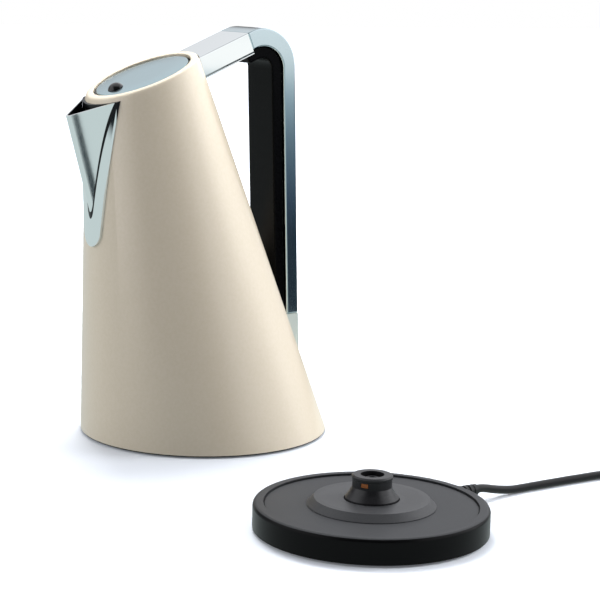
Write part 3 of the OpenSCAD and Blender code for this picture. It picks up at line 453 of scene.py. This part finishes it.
def combine(shape, tool, operation):
    """The shape cut by, or met with, the tool; both bmeshes are used up."""
    held = []
    for part in (shape, tool):
        mesh = bpy.data.meshes.new("blank")
        part.to_mesh(mesh)
        part.free()
        held.append(bpy.data.objects.new("blank", mesh))
        bpy.context.scene.collection.objects.link(held[-1])
    work = held[0].modifiers.new("work", "BOOLEAN")
    work.operation = operation
    work.solver = "EXACT"
    work.object = held[1]
    done = held[0].evaluated_get(bpy.context.evaluated_depsgraph_get())
    result = bmesh.new()
    result.from_mesh(done.to_mesh())
    for blank in held:
        mesh = blank.data
        bpy.data.objects.remove(blank)
        bpy.data.meshes.remove(mesh)
    return result


def cone_solid(inward):
    """Closed cone of the body's form, inward of the shell's outside, longer than the body at both ends."""
    shape = bmesh.new()
    for edges in cone_wall(shape, inward, low=-0.02, depth=-0.08):
        bmesh.ops.contextual_create(shape, geom=edges)
    bmesh.ops.recalc_face_normals(shape, faces=shape.faces)
    return shape


def extruded(outline, place, depth):
    """Flat outline in the place's XY plane, made a solid of that depth along its Z, centred."""
    shape = bmesh.new()
    face = shape.faces.new([shape.verts.new(place @ Vector((x, y, -depth / 2))) for x, y in outline])
    made = bmesh.ops.extrude_face_region(shape, geom=[face])["geom"]
    along = place.to_3x3() @ Vector((0, 0, depth))
    bmesh.ops.translate(shape, vec=along, verts=[v for v in made if isinstance(v, bmesh.types.BMVert)])
    bmesh.ops.recalc_face_normals(shape, faces=shape.faces)
    return shape


def cut_off(shape, at, normal):
    """Takes away all that lies beyond a plane and closes the cut."""
    cut = bmesh.ops.bisect_plane(
        shape, geom=[*shape.verts, *shape.edges, *shape.faces], plane_co=at, plane_no=normal,
        clear_outer=True,
    )["geom_cut"]
    bmesh.ops.contextual_create(shape, geom=[e for e in cut if isinstance(e, bmesh.types.BMEdge)])
    bmesh.ops.recalc_face_normals(shape, faces=shape.faces)


def arc(x, y, radius, start, end, steps):
    """Points of an arc between two angles in degrees."""
    angles = [math.radians(start + (end - start) * i / steps) for i in range(steps + 1)]
    return [(x + radius * math.cos(a), y + radius * math.sin(a)) for a in angles]


# the spout, whose form the window follows: a V with a rounded nose, leaning outwards
SPOUT_REACH = 0.1122
SPOUT_DROP = 0.0032
SPOUT_ARM = 0.042
NOSE_LEAN = 15.5
NOSE_R = 0.0045
NOSE_STEPS = 20
V_ANGLE = 39.7
SPOUT_BLANK = 0.3
WINDOW_INSET = 0.0028
WINDOW_TOP = 0.006
WINDOW_BOTTOM = 0.038
spout_tip = Vector((-SPOUT_REACH, 0, 0))
spout_tip.z = RIM_HEIGHT - SPOUT_DROP / math.cos(math.radians(RIM_TILT)) - rim_rise * SPOUT_REACH
nose_place = Matrix.Translation(KETTLE + spout_tip) @ turn("Y", -NOSE_LEAN)


def spout_outline(off):
    """V with its rounded nose, off outwards of the spout's outside."""
    nose = arc(NOSE_R, 0, NOSE_R + off, 90 + V_ANGLE, 270 - V_ANGLE, NOSE_STEPS)
    along = SPOUT_ARM * math.cos(math.radians(V_ANGLE))
    across = SPOUT_ARM * math.sin(math.radians(V_ANGLE))
    first, last = nose[0], nose[-1]
    return [(first[0] + along, first[1] + across), *nose, (last[0] + along, last[1] - across)]


def window_tool():
    """Blank of the spout's window, from its top to its bottom below the rim."""
    shape = extruded(spout_outline(-WINDOW_INSET), nose_place, SPOUT_BLANK)
    cut_off(shape, rim_point(WINDOW_TOP), rim_normal)
    cut_off(shape, rim_point(WINDOW_BOTTOM), -rim_normal)
    return shape


# depth below the rim's plane at which the wall turns into the lip
LIP_DEPTH = 0.003
shell = bmesh.new()
bottom_out, edge = cone_wall(shell, 0, SHELL_LIFT, LIP_DEPTH)
bottom_in, top_in = cone_wall(shell, SHELL_WALL, SHELL_LIFT, LIP_DEPTH)

# run of the wall per metre below the rim's plane: out at the front and the sides, in at the back
FRONT_RUN = 0.409
BACK_RUN = 0.0306
SIDE_RUN = 0.18
# the lip: radii of its two rolled edges, and the share of its width at which it has one more ring
OUTER_ROLL = 0.0028
INNER_ROLL = 0.0007
LIP_MIDDLE = 0.6
rim_half = (rim_back - rim_front) / 2 / math.cos(math.radians(RIM_TILT))
lip_width = rim_half - MOUTH_R
outer_angles = [math.radians(a) for a in range(15, 91, 15)]
inner_angles = [math.radians(a) for a in range(0, 91, 30)]
profile = [
    (OUTER_ROLL - OUTER_ROLL * math.cos(a), OUTER_ROLL - OUTER_ROLL * math.sin(a))
    for a in outer_angles
]
profile += [(lip_width * LIP_MIDDLE, 0.0)]
profile += [
    (lip_width - INNER_ROLL * (1 - math.sin(a)), INNER_ROLL * (1 - math.cos(a)))
    for a in inner_angles
]
profile += [(lip_width, LIP_DEPTH)]
ring = (
    -LIP_DEPTH * (FRONT_RUN + BACK_RUN) / 2, rim_half + LIP_DEPTH * (FRONT_RUN - BACK_RUN) / 2,
    RIM_HALF_W + LIP_DEPTH * SIDE_RUN, -LIP_DEPTH,
)
for inset, depth in profile:
    share = inset / lip_width
    next_ring = (
        -depth * (FRONT_RUN + BACK_RUN) / 2 * (1 - share), rim_half - inset,
        RIM_HALF_W + (MOUTH_R - RIM_HALF_W) * share, -depth,
    )
    edge = extrude_ring(shell, edge, rim_place, ring, next_ring)
    ring = next_ring
join_rings(shell, edge, top_in)
join_rings(shell, bottom_out, bottom_in)
bmesh.ops.recalc_face_normals(shell, faces=shell.faces)
shell = combine(shell, window_tool(), "DIFFERENCE")

# stove enamel: smooth, glossy and hard, with a very shallow orange-peel waviness of about 2 mm
enamel = new_finish("cream_stove_enamel", "e4d8c2", 0.3, Coat_Weight=0.25, Coat_Roughness=0.14)
grain(enamel, 2.2, 0.0025, rough=(0.28, 0.34), tint=("e3d7c0", "e6dac5"))
add_piece(shell, "cream_body", enamel, "kettle", ["body_shell"], sharp=40)


def dress(finish, *nodes):
    """Gives solids of the frame their finish."""
    for node in nodes:
        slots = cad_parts[node].data.materials
        for i in range(len(slots)):
            slots[i] = finish


# ---------------------------------------------------------------- Mouth and inside
# Black moulded ring that the lid rests on, and under it the water vessel of satin stainless steel with its
# heater plate, tube and drilled strainer behind the spout.

# moulded nylon with a fine spark-eroded grain: near black, with a weak sheen
seat_plastic = new_finish("moulded_black_seat", "101113", 0.42)
grain(seat_plastic, 0.35, 0.01, rough=(0.36, 0.5), tint=("0d0e10", "151619"))
dress(seat_plastic, "rim_seat")

# deep-drawn stainless steel, satin inside, with fine drawing marks down its wall
satin_steel = new_finish("satin_stainless_steel", "a9adb0", 0.34, 1.0)
grain(satin_steel, 1.2, 0.006, stretch=(1, 1, 0.06), rough=(0.28, 0.42), tint=("9fa4a8", "b3b7ba"))
dress(satin_steel, "water_vessel", "heater_plate")

# perforated stainless sheet: greyer and softer than the wall, because it isn't polished
strainer_steel = new_finish("perforated_strainer_steel", "8d9296", 0.38, 1.0)
grain(strainer_steel, 0.8, 0.004, rough=(0.32, 0.46), tint=("858a8e", "969a9e"))
dress(strainer_steel, "spout_strainer")

# moulded silicone: matt grey, and a little light goes into it
silicone = new_finish("grey_silicone", "8d9193", 0.55, Subsurface_Weight=0.08)
grain(silicone, 0.5, 0.01, rough=(0.5, 0.62), tint=("868a8c", "95999b"))
dress(silicone, "spout_seal", "lid_gasket")

# rolled aluminium plate: pale metal with long streaks in the direction it was rolled
rolled_aluminium = new_finish("rolled_aluminium", "b9bcc0", 0.4, 1.0)
grain(rolled_aluminium, 1.5, 0.006, stretch=(0.08, 1, 1), rough=(0.34, 0.5), tint=("afb3b7", "c2c5c8"))
dress(rolled_aluminium, "heat_spreader")

# heater tube: dull grey metal, browned in places by its own heat
element_sheath = new_finish("oxidised_element_tube", "84878a", 0.55, 0.9)
grain(element_sheath, 2.5, 0.01, rough=(0.45, 0.65), tint=("7a7671", "8e9194"))
dress(element_sheath, "heating_element")

# natural polypropylene: milky white with a soft sheen
milky_plastic = new_finish("milky_white_plastic", "d8d8d4", 0.4)
grain(milky_plastic, 0.6, 0.008, rough=(0.36, 0.46), tint=("d2d2cd", "ddddda"))
dress(milky_plastic, "steam_tube", "terminal_block")

# ---------------------------------------------------------------- Lid
# Disc of polished stainless steel with a rounded edge over a plastic pan, with a small turned black knob
# near its front edge. It hangs on a wire pin at the handle's side.

LID_R = 0.03368
LID_RECESS = 0.0008
LID_T = 0.0008
LID_EDGE_R = 0.0006
KNOB_R = 0.0056
KNOB_H = 0.0038
KNOB_OFFSET = 0.02228
# the dome stops that many degrees above its own edge, and a small turned step leads down to the disc
KNOB_DOME_STOP = 6
KNOB_STEP_IN = 0.0001
KNOB_STEP_H = 0.0003
KNOB_FOOT_IN = 0.0004
KNOB_STEM_R = 0.0018
KNOB_STEM_LEN = 0.002
KNOB_GAP = 0.00005


def turned(outline, place, steps):
    """Solid turned about the place's Z axis from an outline of radius and height."""
    shape = bmesh.new()
    points = [shape.verts.new((r, 0, z)) for r, z in outline]
    edges = [shape.edges.new(pair) for pair in zip(points, points[1:])]
    bmesh.ops.spin(
        shape, geom=points + edges, cent=(0, 0, 0), axis=(0, 0, 1),
        angle=math.tau, steps=steps, use_merge=True,
    )
    bmesh.ops.remove_doubles(shape, verts=shape.verts, dist=MERGE)
    bmesh.ops.transform(shape, matrix=place, verts=shape.verts)
    return shape


# polished stainless steel: a clear mirror, with broad and very slight clouds from the wheel
polished_steel = new_finish("polished_stainless_lid", "a9c2c8", 0.16, 1.0)
grain(polished_steel, 14, rough=(0.14, 0.18))
lid_edge = [
    (LID_R - LID_EDGE_R + r, -LID_RECESS - LID_EDGE_R + z)
    for r, z in arc(0, 0, LID_EDGE_R, 90, 0, steps=5)
]
# one more ring halfway out keeps the faces of the disc's top short
lid_outline = [(0, -LID_RECESS), (LID_R * 0.5, -LID_RECESS), *lid_edge]
lid_outline += [(LID_R, -LID_RECESS - LID_T), (0, -LID_RECESS - LID_T)]
lid_shape = turned(lid_outline, rim_place, steps=160)
add_piece(lid_shape, "lid_disc", polished_steel, "lid", ["lid_plate"])

# polished black plastic: deep black with a sharp highlight
gloss_black = new_finish("polished_black_plastic", "0c0c0e", 0.12, Coat_Weight=0.4, Coat_Roughness=0.05)
grain(gloss_black, 1.8, 0.002, rough=(0.1, 0.16), tint=("0a0a0c", "101113"))
knob_place = rim_place @ Matrix.Translation((-KNOB_OFFSET, 0, -LID_RECESS))
dome_r = (KNOB_R ** 2 + KNOB_H ** 2) / (2 * KNOB_H)
dome_end = math.degrees(math.asin((dome_r - KNOB_H) / dome_r)) + KNOB_DOME_STOP
knob_outline = arc(0, KNOB_H - dome_r, dome_r, 90, dome_end, steps=14)
knob_outline += [(KNOB_R - KNOB_STEP_IN, KNOB_STEP_H), (KNOB_R - KNOB_FOOT_IN, KNOB_GAP)]
knob_outline += [(KNOB_STEM_R, KNOB_GAP)]
knob_outline += [(KNOB_STEM_R, -KNOB_STEM_LEN), (0, -KNOB_STEM_LEN)]
knob_shape = turned(knob_outline, knob_place, steps=96)
add_piece(knob_shape, "lid_knob_cap", gloss_black, "lid", ["lid_knob"])

# moulded polypropylene under the disc: dark grey and matt
pan_plastic = new_finish("grey_moulded_pan", "3b3d40", 0.5)
grain(pan_plastic, 0.4, 0.01, rough=(0.44, 0.58), tint=("36383b", "404246"))
dress(pan_plastic, "lid_pan")

# zinc-plated steel: light grey metal, slightly uneven from the plating
bright_screw = new_finish("zinc_plated_steel", "a3a7aa", 0.3, 1.0)
grain(bright_screw, 0.3, 0.004, rough=(0.24, 0.38), tint=("999da1", "adb1b4"))
dress(bright_screw, "hinge_pin", "knob_screw", "handle_screws", "cover_screws", "base_screws", "switch_pin")
dress(bright_screw, "plug_pins", "plug_earth_clips")

# ---------------------------------------------------------------- Spout
# Folded V of stainless steel sheet, 1.3 mm thick with a rounded nose, brazed to a tongue-shaped flange that
# follows the body. Both are polished and chromed; the inside of the mouth is painted near-black, as painted
# shade.

SPOUT_WALL = 0.0013
FLANGE_T = 0.0015
FLANGE_END_R = 0.012
FLANGE_LEN = 0.106
JOINT_W = 0.0011
# clearance that keeps two surfaces apart
SKIN = 0.0001
# larger faces than this are flat ones; the rest belong to a rounding
FLAT_AREA = 1e-4

# bright chrome plate over polished steel: a nearly perfect mirror
polished_chrome = new_finish("polished_chrome", "ecf1f1", 0.04, 1.0)
grain(polished_chrome, 6, rough=(0.03, 0.05))

# painted shade: near-black steel with a dull metal sheen, standing in for the shade inside the spout's mouth
painted_shade_steel = new_finish("inner_steel_painted_shade", "0e1114", 0.3, 0.6)
grain(painted_shade_steel, 1.2, 0.004, rough=(0.25, 0.4), tint=("0b0d10", "14181b"))

flange_end_z = RIM_HEIGHT + rim_rise * rim_x - FLANGE_LEN
band = extruded(spout_outline(0) + spout_outline(-SPOUT_WALL)[::-1], nose_place, SPOUT_BLANK)
cut_off(band, rim_point(SPOUT_DROP), rim_normal)
cut_off(band, Vector((0, 0, flange_end_z)), Vector((0, 0, -1)))
band = combine(band, cone_solid(-FLANGE_T - 2 * SKIN), "DIFFERENCE")
band.normal_update()
into_nose = nose_place.inverted()
# the upright faces that look towards the V's middle plane, or back out of its nose, get the painted shade
for face in band.faces:
    facing = into_nose.to_3x3() @ face.normal
    where = into_nose @ face.calc_center_median()
    arm_inside = facing.y * where.y < -1e-5
    nose_inside = facing.x > 0.5 and where.x < NOSE_R
    upright = abs(facing.z) < 0.5
    face.material_index = 1 if (arm_inside or nose_inside) and upright else 0
spout = add_piece(
    band, "v_spout", polished_chrome, "kettle", ["spout"], flat_over=FLAT_AREA,
)
spout.data.materials.append(painted_shade_steel)

# the flange's width at the rim is a share of the rim's, and a margin
FLANGE_SHARE = 0.6
FLANGE_MARGIN = 0.0036
TONGUE_BLANK = 0.1
flange_half_w = FLANGE_SHARE * RIM_HALF_W + FLANGE_MARGIN
fall = math.degrees(math.atan((flange_half_w - FLANGE_END_R) / FLANGE_LEN))
rim_z = flange_end_z + FLANGE_LEN
tongue = [(-flange_half_w, rim_z), (flange_half_w, rim_z)]
tongue += arc(0, flange_end_z, FLANGE_END_R, -fall, fall - 180, steps=32)
facing_x = Matrix(((0, 0, 1, rim_x - TONGUE_BLANK / 2), (1, 0, 0, 0), (0, 1, 0, 0), (0, 0, 0, 1)))
blank = extruded(tongue, Matrix.Translation(KETTLE) @ facing_x, TONGUE_BLANK)
cut_off(blank, rim_point(SPOUT_DROP), rim_normal)
blank = combine(blank, cone_solid(-FLANGE_T - SKIN), "INTERSECT")
blank = combine(blank, cone_solid(-SKIN), "DIFFERENCE")
blank = combine(blank, window_tool(), "DIFFERENCE")
# the flange's floor inside the mouth gets the painted shade too
mouth_floor = combine(
    blank.copy(), extruded(spout_outline(JOINT_W), nose_place, SPOUT_BLANK), "INTERSECT",
)
add_piece(mouth_floor, "spout_mouth_floor", painted_shade_steel, "kettle", [])
blank = combine(blank, extruded(spout_outline(JOINT_W), nose_place, SPOUT_BLANK), "DIFFERENCE")
add_piece(blank, "spout_tongue", polished_chrome, "kettle", ["spout_flange"])

# ---------------------------------------------------------------- Handle
# Two chromed castings, the sloping block at the mouth and the bow that bends down from it, with a thin
# chromed plate under the block, a black moulded grip inside the bow, and a lacquered bracket at the body.

HANDLE_W = 0.038
GRIP_W = 0.034
BLOCK_SLOPE = 23
BLOCK_TOP = 0.2789
BLOCK_DEPTH = 0.016
BLOCK_BACK = 0.06
BLOCK_ROUNDING = 0.0009
UNDERPLATE_T = 0.0012
UNDERPLATE_GAP = 0.0002
UNDERPLATE_ROUNDING = 0.0003
UNDERPLATE_FLAT_AREA = 1e-5
SEAM_X = 0.019
BOW_X = 0.0328
BOW_R = 0.02715
BOW_ROUNDING = 0.0012
GRIP_ROUNDING = 0.0018
GRIP_LEAN = 2.5
BRACKET_TOP = 0.083
FRAME_DEPTH = 0.0098
# the bow's blank starts on the slope here and ends at this height, past the cuts that follow
BLANK_START = -0.02
BLANK_LOW = 0.05
BOW_STEPS = 40
# the grip starts there on the slope; a room that is cut away is that long and wide, and DEEP if it takes all
GRIP_START = -0.005
ROOM = 0.1
DEEP = 0.07

slope = math.tan(math.radians(BLOCK_SLOPE))
lean = math.radians(GRIP_LEAN)
bow_z = BLOCK_TOP + slope * BOW_X - BOW_R / math.cos(math.radians(BLOCK_SLOPE))
seam_z = BLOCK_TOP + slope * SEAM_X
# x, z and radius of the circle in the bend of each face: outside, under the chrome, and inside the grip
bow_out = (BOW_X, bow_z, BOW_R)
frame_in = (0.03365, bow_z - 0.0023, 0.0165)
grip_in = (0.03355, bow_z - 0.0024, 0.0082)
block_place = Matrix.Translation(KETTLE + Vector((SEAM_X, 0, seam_z))) @ turn("Y", -BLOCK_SLOPE)
side_place = Matrix.Translation(KETTLE) @ turn("X", 90)
up_grip = Vector((-math.sin(lean), 0, math.cos(lean)))


def grip_point(z):
    """Point of the bow's outer face at height z."""
    x = BOW_X + BOW_R * math.cos(lean) + math.tan(lean) * (bow_z + BOW_R * math.sin(lean) - z)
    return KETTLE + Vector((x, 0, z))


def bow_line(circle):
    """One face of the bow: along the slope, round its circle and down."""
    x, z, r = circle
    line = arc(x, z, r, 90 + BLOCK_SLOPE, GRIP_LEAN, BOW_STEPS)
    first, last = line[0], line[-1]
    start = (BLANK_START, first[1] - (first[0] - BLANK_START) * slope)
    return [start, *line, (last[0] + math.tan(lean) * (last[1] - BLANK_LOW), BLANK_LOW)]


def block_room(end, depth):
    """Room of the block: up to end along its slope and down to depth below its top."""
    corners = [(-ROOM, -depth), (end, -depth), (end, ROOM / 2), (-ROOM, ROOM / 2)]
    return extruded(corners, block_place @ turn("X", 90), ROOM)


def block_blank(top, bottom, round_off):
    """Bar along the block's slope, with rounded long edges, cut to the body."""
    corners = [(-BLOCK_BACK, top), (0, top), (0, bottom), (-BLOCK_BACK, bottom)]
    shape = extruded(corners, block_place @ turn("X", 90), HANDLE_W)
    along = (block_place.to_3x3() @ Vector((1, 0, 0))).normalized()
    lengthwise = []
    for edge in shape.edges:
        direction = (edge.verts[1].co - edge.verts[0].co).normalized()
        if abs(direction.dot(along)) > 0.99:
            lengthwise.append(edge)
    bmesh.ops.bevel(
        shape, geom=lengthwise, offset=round_off, segments=3, profile=0.5, affect="EDGES", material=-1,
    )
    return combine(shape, cone_solid(-SKIN), "DIFFERENCE")


add_piece(
    block_blank(0, UNDERPLATE_T - BLOCK_DEPTH, BLOCK_ROUNDING), "handle_upper_block",
    polished_chrome, "kettle", ["handle_block"], flat_over=FLAT_AREA,
)
add_piece(
    block_blank(UNDERPLATE_T - BLOCK_DEPTH - UNDERPLATE_GAP, -BLOCK_DEPTH, UNDERPLATE_ROUNDING),
    "handle_thin_plate", polished_chrome, "kettle", ["block_underplate"],
    flat_over=UNDERPLATE_FLAT_AREA,
)

# nickel and chrome over zinc casting, a little bluer and softer than the block's
blued_chrome = new_finish("blued_chrome", "c3d2d6", 0.09, 1.0)
grain(blued_chrome, 8, rough=(0.08, 0.11))

# the switch and its lens sit in a window and a bore of the bow, on its back
SWITCH_Z = 0.104
LENS_Z = 0.122
WINDOW_W = 0.0124
WINDOW_OUT = 0.005
WINDOW_IN = 0.001
ROCKER_R = 0.0085
ROCKER_CLEAR = 0.0003
LENS_R = 0.002
LENS_CLEAR = 0.00005
LENS_BORE = 0.03
LENS_SIDES = 32

grip_end = grip_point(BRACKET_TOP) + up_grip * SKIN
bow_shape = extruded(bow_line(bow_out) + bow_line(frame_in)[::-1], side_place, HANDLE_W)
cut_off(bow_shape, grip_end, -up_grip)
bow_shape = combine(bow_shape, block_room(SKIN, DEEP), "DIFFERENCE")
window_place = Matrix.Translation(grip_point(SWITCH_Z)) @ turn("Y", -GRIP_LEAN)
window_in = -FRAME_DEPTH - WINDOW_IN
window_half = ROCKER_R + ROCKER_CLEAR
corners = [
    (window_in, -window_half), (WINDOW_OUT, -window_half),
    (WINDOW_OUT, window_half), (window_in, window_half),
]
bow_shape = combine(bow_shape, extruded(corners, window_place @ turn("X", 90), WINDOW_W), "DIFFERENCE")
lens_place = Matrix.Translation(grip_point(LENS_Z)) @ turn("Y", 90 - GRIP_LEAN)
lens_circle = arc(0, 0, LENS_R + LENS_CLEAR, 0, 360 - 360 / LENS_SIDES, LENS_SIDES - 1)
bow_shape = combine(bow_shape, extruded(lens_circle, lens_place, LENS_BORE), "DIFFERENCE")
add_piece(
    bow_shape, "handle_bow", blued_chrome, "kettle", ["handle_frame"], bevel=BOW_ROUNDING,
)

grip_out = (frame_in[0], frame_in[1], frame_in[2] - SKIN)
grip_shape = extruded(bow_line(grip_out) + bow_line(grip_in)[::-1], side_place, GRIP_W)
cut_off(grip_shape, grip_end, -up_grip)
grip_shape = combine(grip_shape, block_room(SKIN, BLOCK_DEPTH + SKIN), "DIFFERENCE")
grip_shape = combine(grip_shape, block_room(GRIP_START, DEEP), "DIFFERENCE")

# deep black nylon, smooth from the tool, which throws back very little light
black_nylon = new_finish("smooth_black_nylon", "050506", 0.22, Specular_IOR_Level=0.05)
grain(black_nylon, 1.8, 0.002, rough=(0.18, 0.27), tint=("040405", "08080a"))
add_piece(
    grip_shape, "handle_black_grip", black_nylon, "kettle", ["handle_grip"],
    bevel=GRIP_ROUNDING,
)

# silver lacquer over a moulding: pale, with a soft sheen instead of a mirror image
silver_lacquer = new_finish("pale_silver_lacquer", "dbe6e1", 0.3, 0.25)
grain(silver_lacquer, 0.6, 0.003, rough=(0.26, 0.36), tint=("d7e2dd", "dfe9e4"))
dress(silver_lacquer, "lower_bracket")

# ABS with a fine texture from the tool: dark grey and matt
matte_black = new_finish("textured_black_plastic", "2b2c2e", 0.5)
grain(matte_black, 0.45, 0.02, rough=(0.44, 0.58), tint=("27282a", "303133"))
dress(matte_black, "switch_rocker", "base_bottom", "cord_clamp", "cord_tie")

# clear amber polycarbonate: light goes part of the way through it
amber_lens = new_finish("amber_lens", "c8641a", 0.15, Transmission_Weight=0.4)
grain(amber_lens, 0.8, 0.004, rough=(0.12, 0.2), tint=("bf5c14", "d06c20"))
dress(amber_lens, "indicator_lens")

# ---------------------------------------------------------------- Underside
# Moulded plastic cover with the recess for the power base's hub, the thermostat control with its connector
# socket, three rubber feet and three screws.

# glass-filled nylon: dark grey, matt, with a coarse-looking surface
control_plastic = new_finish("moulded_black_control", "1e1f21", 0.5)
grain(control_plastic, 0.5, 0.015, rough=(0.44, 0.58), tint=("1a1b1d", "232426"))
dress(control_plastic, "thermostat_control", "bottom_cover", "switch_body")

# moulded rubber: nearly black and quite dull
foot_rubber = new_finish("matte_foot_rubber", "242526", 0.8)
grain(foot_rubber, 0.7, 0.03, rough=(0.72, 0.88), tint=("202122", "2a2b2c"))
dress(foot_rubber, "kettle_feet", "base_feet")

# stamped spring brass: yellow metal with a soft shine
contact_brass = new_finish("spring_brass", "c49a4f", 0.28, 1.0)
grain(contact_brass, 0.6, 0.004, rough=(0.24, 0.36), tint=("b98f46", "cda55a"))
dress(contact_brass, "socket_contacts", "ring_contact", "centre_contact")

# ---------------------------------------------------------------- Power base
# Round moulded base in black plastic, with a dark grey raised hub, a satin connector post with copper
# earth contacts, and a ribbed rubber strain relief around the lead.

# the middle of the power base, and the radius inside which its top is textured and painted lighter
BASE = Vector((-0.027511, -0.139212, 0))
TOP_TEXTURE_AND_PAINTED_LIGHT_R = 0.0705
TOP_TEXTURE_AND_PAINTED_LIGHT_EDGE = 0.0002
# numbers of a colour mix's two colours and of its result
MIX_FIRST = 6
MIX_SECOND = 7
MIX_RESULT = 2

# fine-textured plastic, a little greyer than the base
hub_grey = new_finish("textured_dark_grey_plastic", "303133", 0.42)
grain(hub_grey, 0.45, 0.012, rough=(0.37, 0.47), tint=("2c2d2f", "38393b"))
dress(hub_grey, "base_hub")

# same plastic with a smooth tool face on the post: satin black
satin_black = new_finish("satin_black_plastic", "18181a", 0.3, Specular_IOR_Level=0.5)
grain(satin_black, 0.7, 0.004, rough=(0.26, 0.35), tint=("151517", "1d1d20"))
dress(satin_black, "connector_post")

# the base's moulding is smooth and black round its side and rim, and fine-grained inside the rim; its greyer
# top inside the rim is painted light, standing in for the pale light that top takes
base_plastic = new_finish("moulded_base_plastic", "0a0a0b", 0.3, Specular_IOR_Level=0.1)
grains = grain(base_plastic, 0.45, 0.012)
tree = base_plastic.node_tree
shader = tree.nodes["Principled BSDF"]
place = add_node(tree, "TexCoord").outputs["Object"]
across = add_node(tree, "VectorMath", {"operation": "SUBTRACT", 1: BASE}, {0: place})
across = add_node(tree, "VectorMath", {"operation": "MULTIPLY", 1: (1, 1, 0)}, {0: across.outputs[0]})
radius = add_node(tree, "VectorMath", {"operation": "LENGTH"}, {0: across.outputs[0]})
inside = add_node(tree, "MapRange", {"From Min": TOP_TEXTURE_AND_PAINTED_LIGHT_R + TOP_TEXTURE_AND_PAINTED_LIGHT_EDGE, "From Max": TOP_TEXTURE_AND_PAINTED_LIGHT_R}, {
    "Value": radius.outputs["Value"],
}).outputs[0]
# painted light: the grey of the top inside the rim, with its grain spread between the two greys
grain_and_painted_top_light = add_node(tree, "ValToRGB", {}, {"Fac": grains})
for mark, colour in zip(grain_and_painted_top_light.color_ramp.elements, ("333436", "3f4042")):
    mark.color = linear(colour)
mixed = add_node(tree, "Mix", {"data_type": "RGBA", MIX_FIRST: linear("0a0a0b")}, {
    "Factor": inside, MIX_SECOND: grain_and_painted_top_light.outputs["Color"],
})
tree.links.new(shader.inputs["Base Color"], mixed.outputs[MIX_RESULT])
spread = add_node(tree, "MapRange", {"To Min": 0.28, "To Max": 0.46}, {"Value": inside})
tree.links.new(shader.inputs["Roughness"], spread.outputs[0])
dress(base_plastic, "base_shell")

# copper strip: reddish metal with a soft shine
copper = new_finish("copper_contact", "b8734a", 0.3, 1.0)
grain(copper, 0.5, 0.004, rough=(0.26, 0.38), tint=("ad6840", "c27d54"))
dress(copper, "earth_contacts")

# soft vinyl round the three cores, shown in one muted brown
wire_sheath = new_finish("coloured_wire_sheath", "6b5a3c", 0.45)
grain(wire_sheath, 0.5, 0.01, rough=(0.4, 0.52), tint=("64533a", "73624a"))
dress(wire_sheath, "lead_wires")

dress(sheath, "strain_relief", "plug_body")
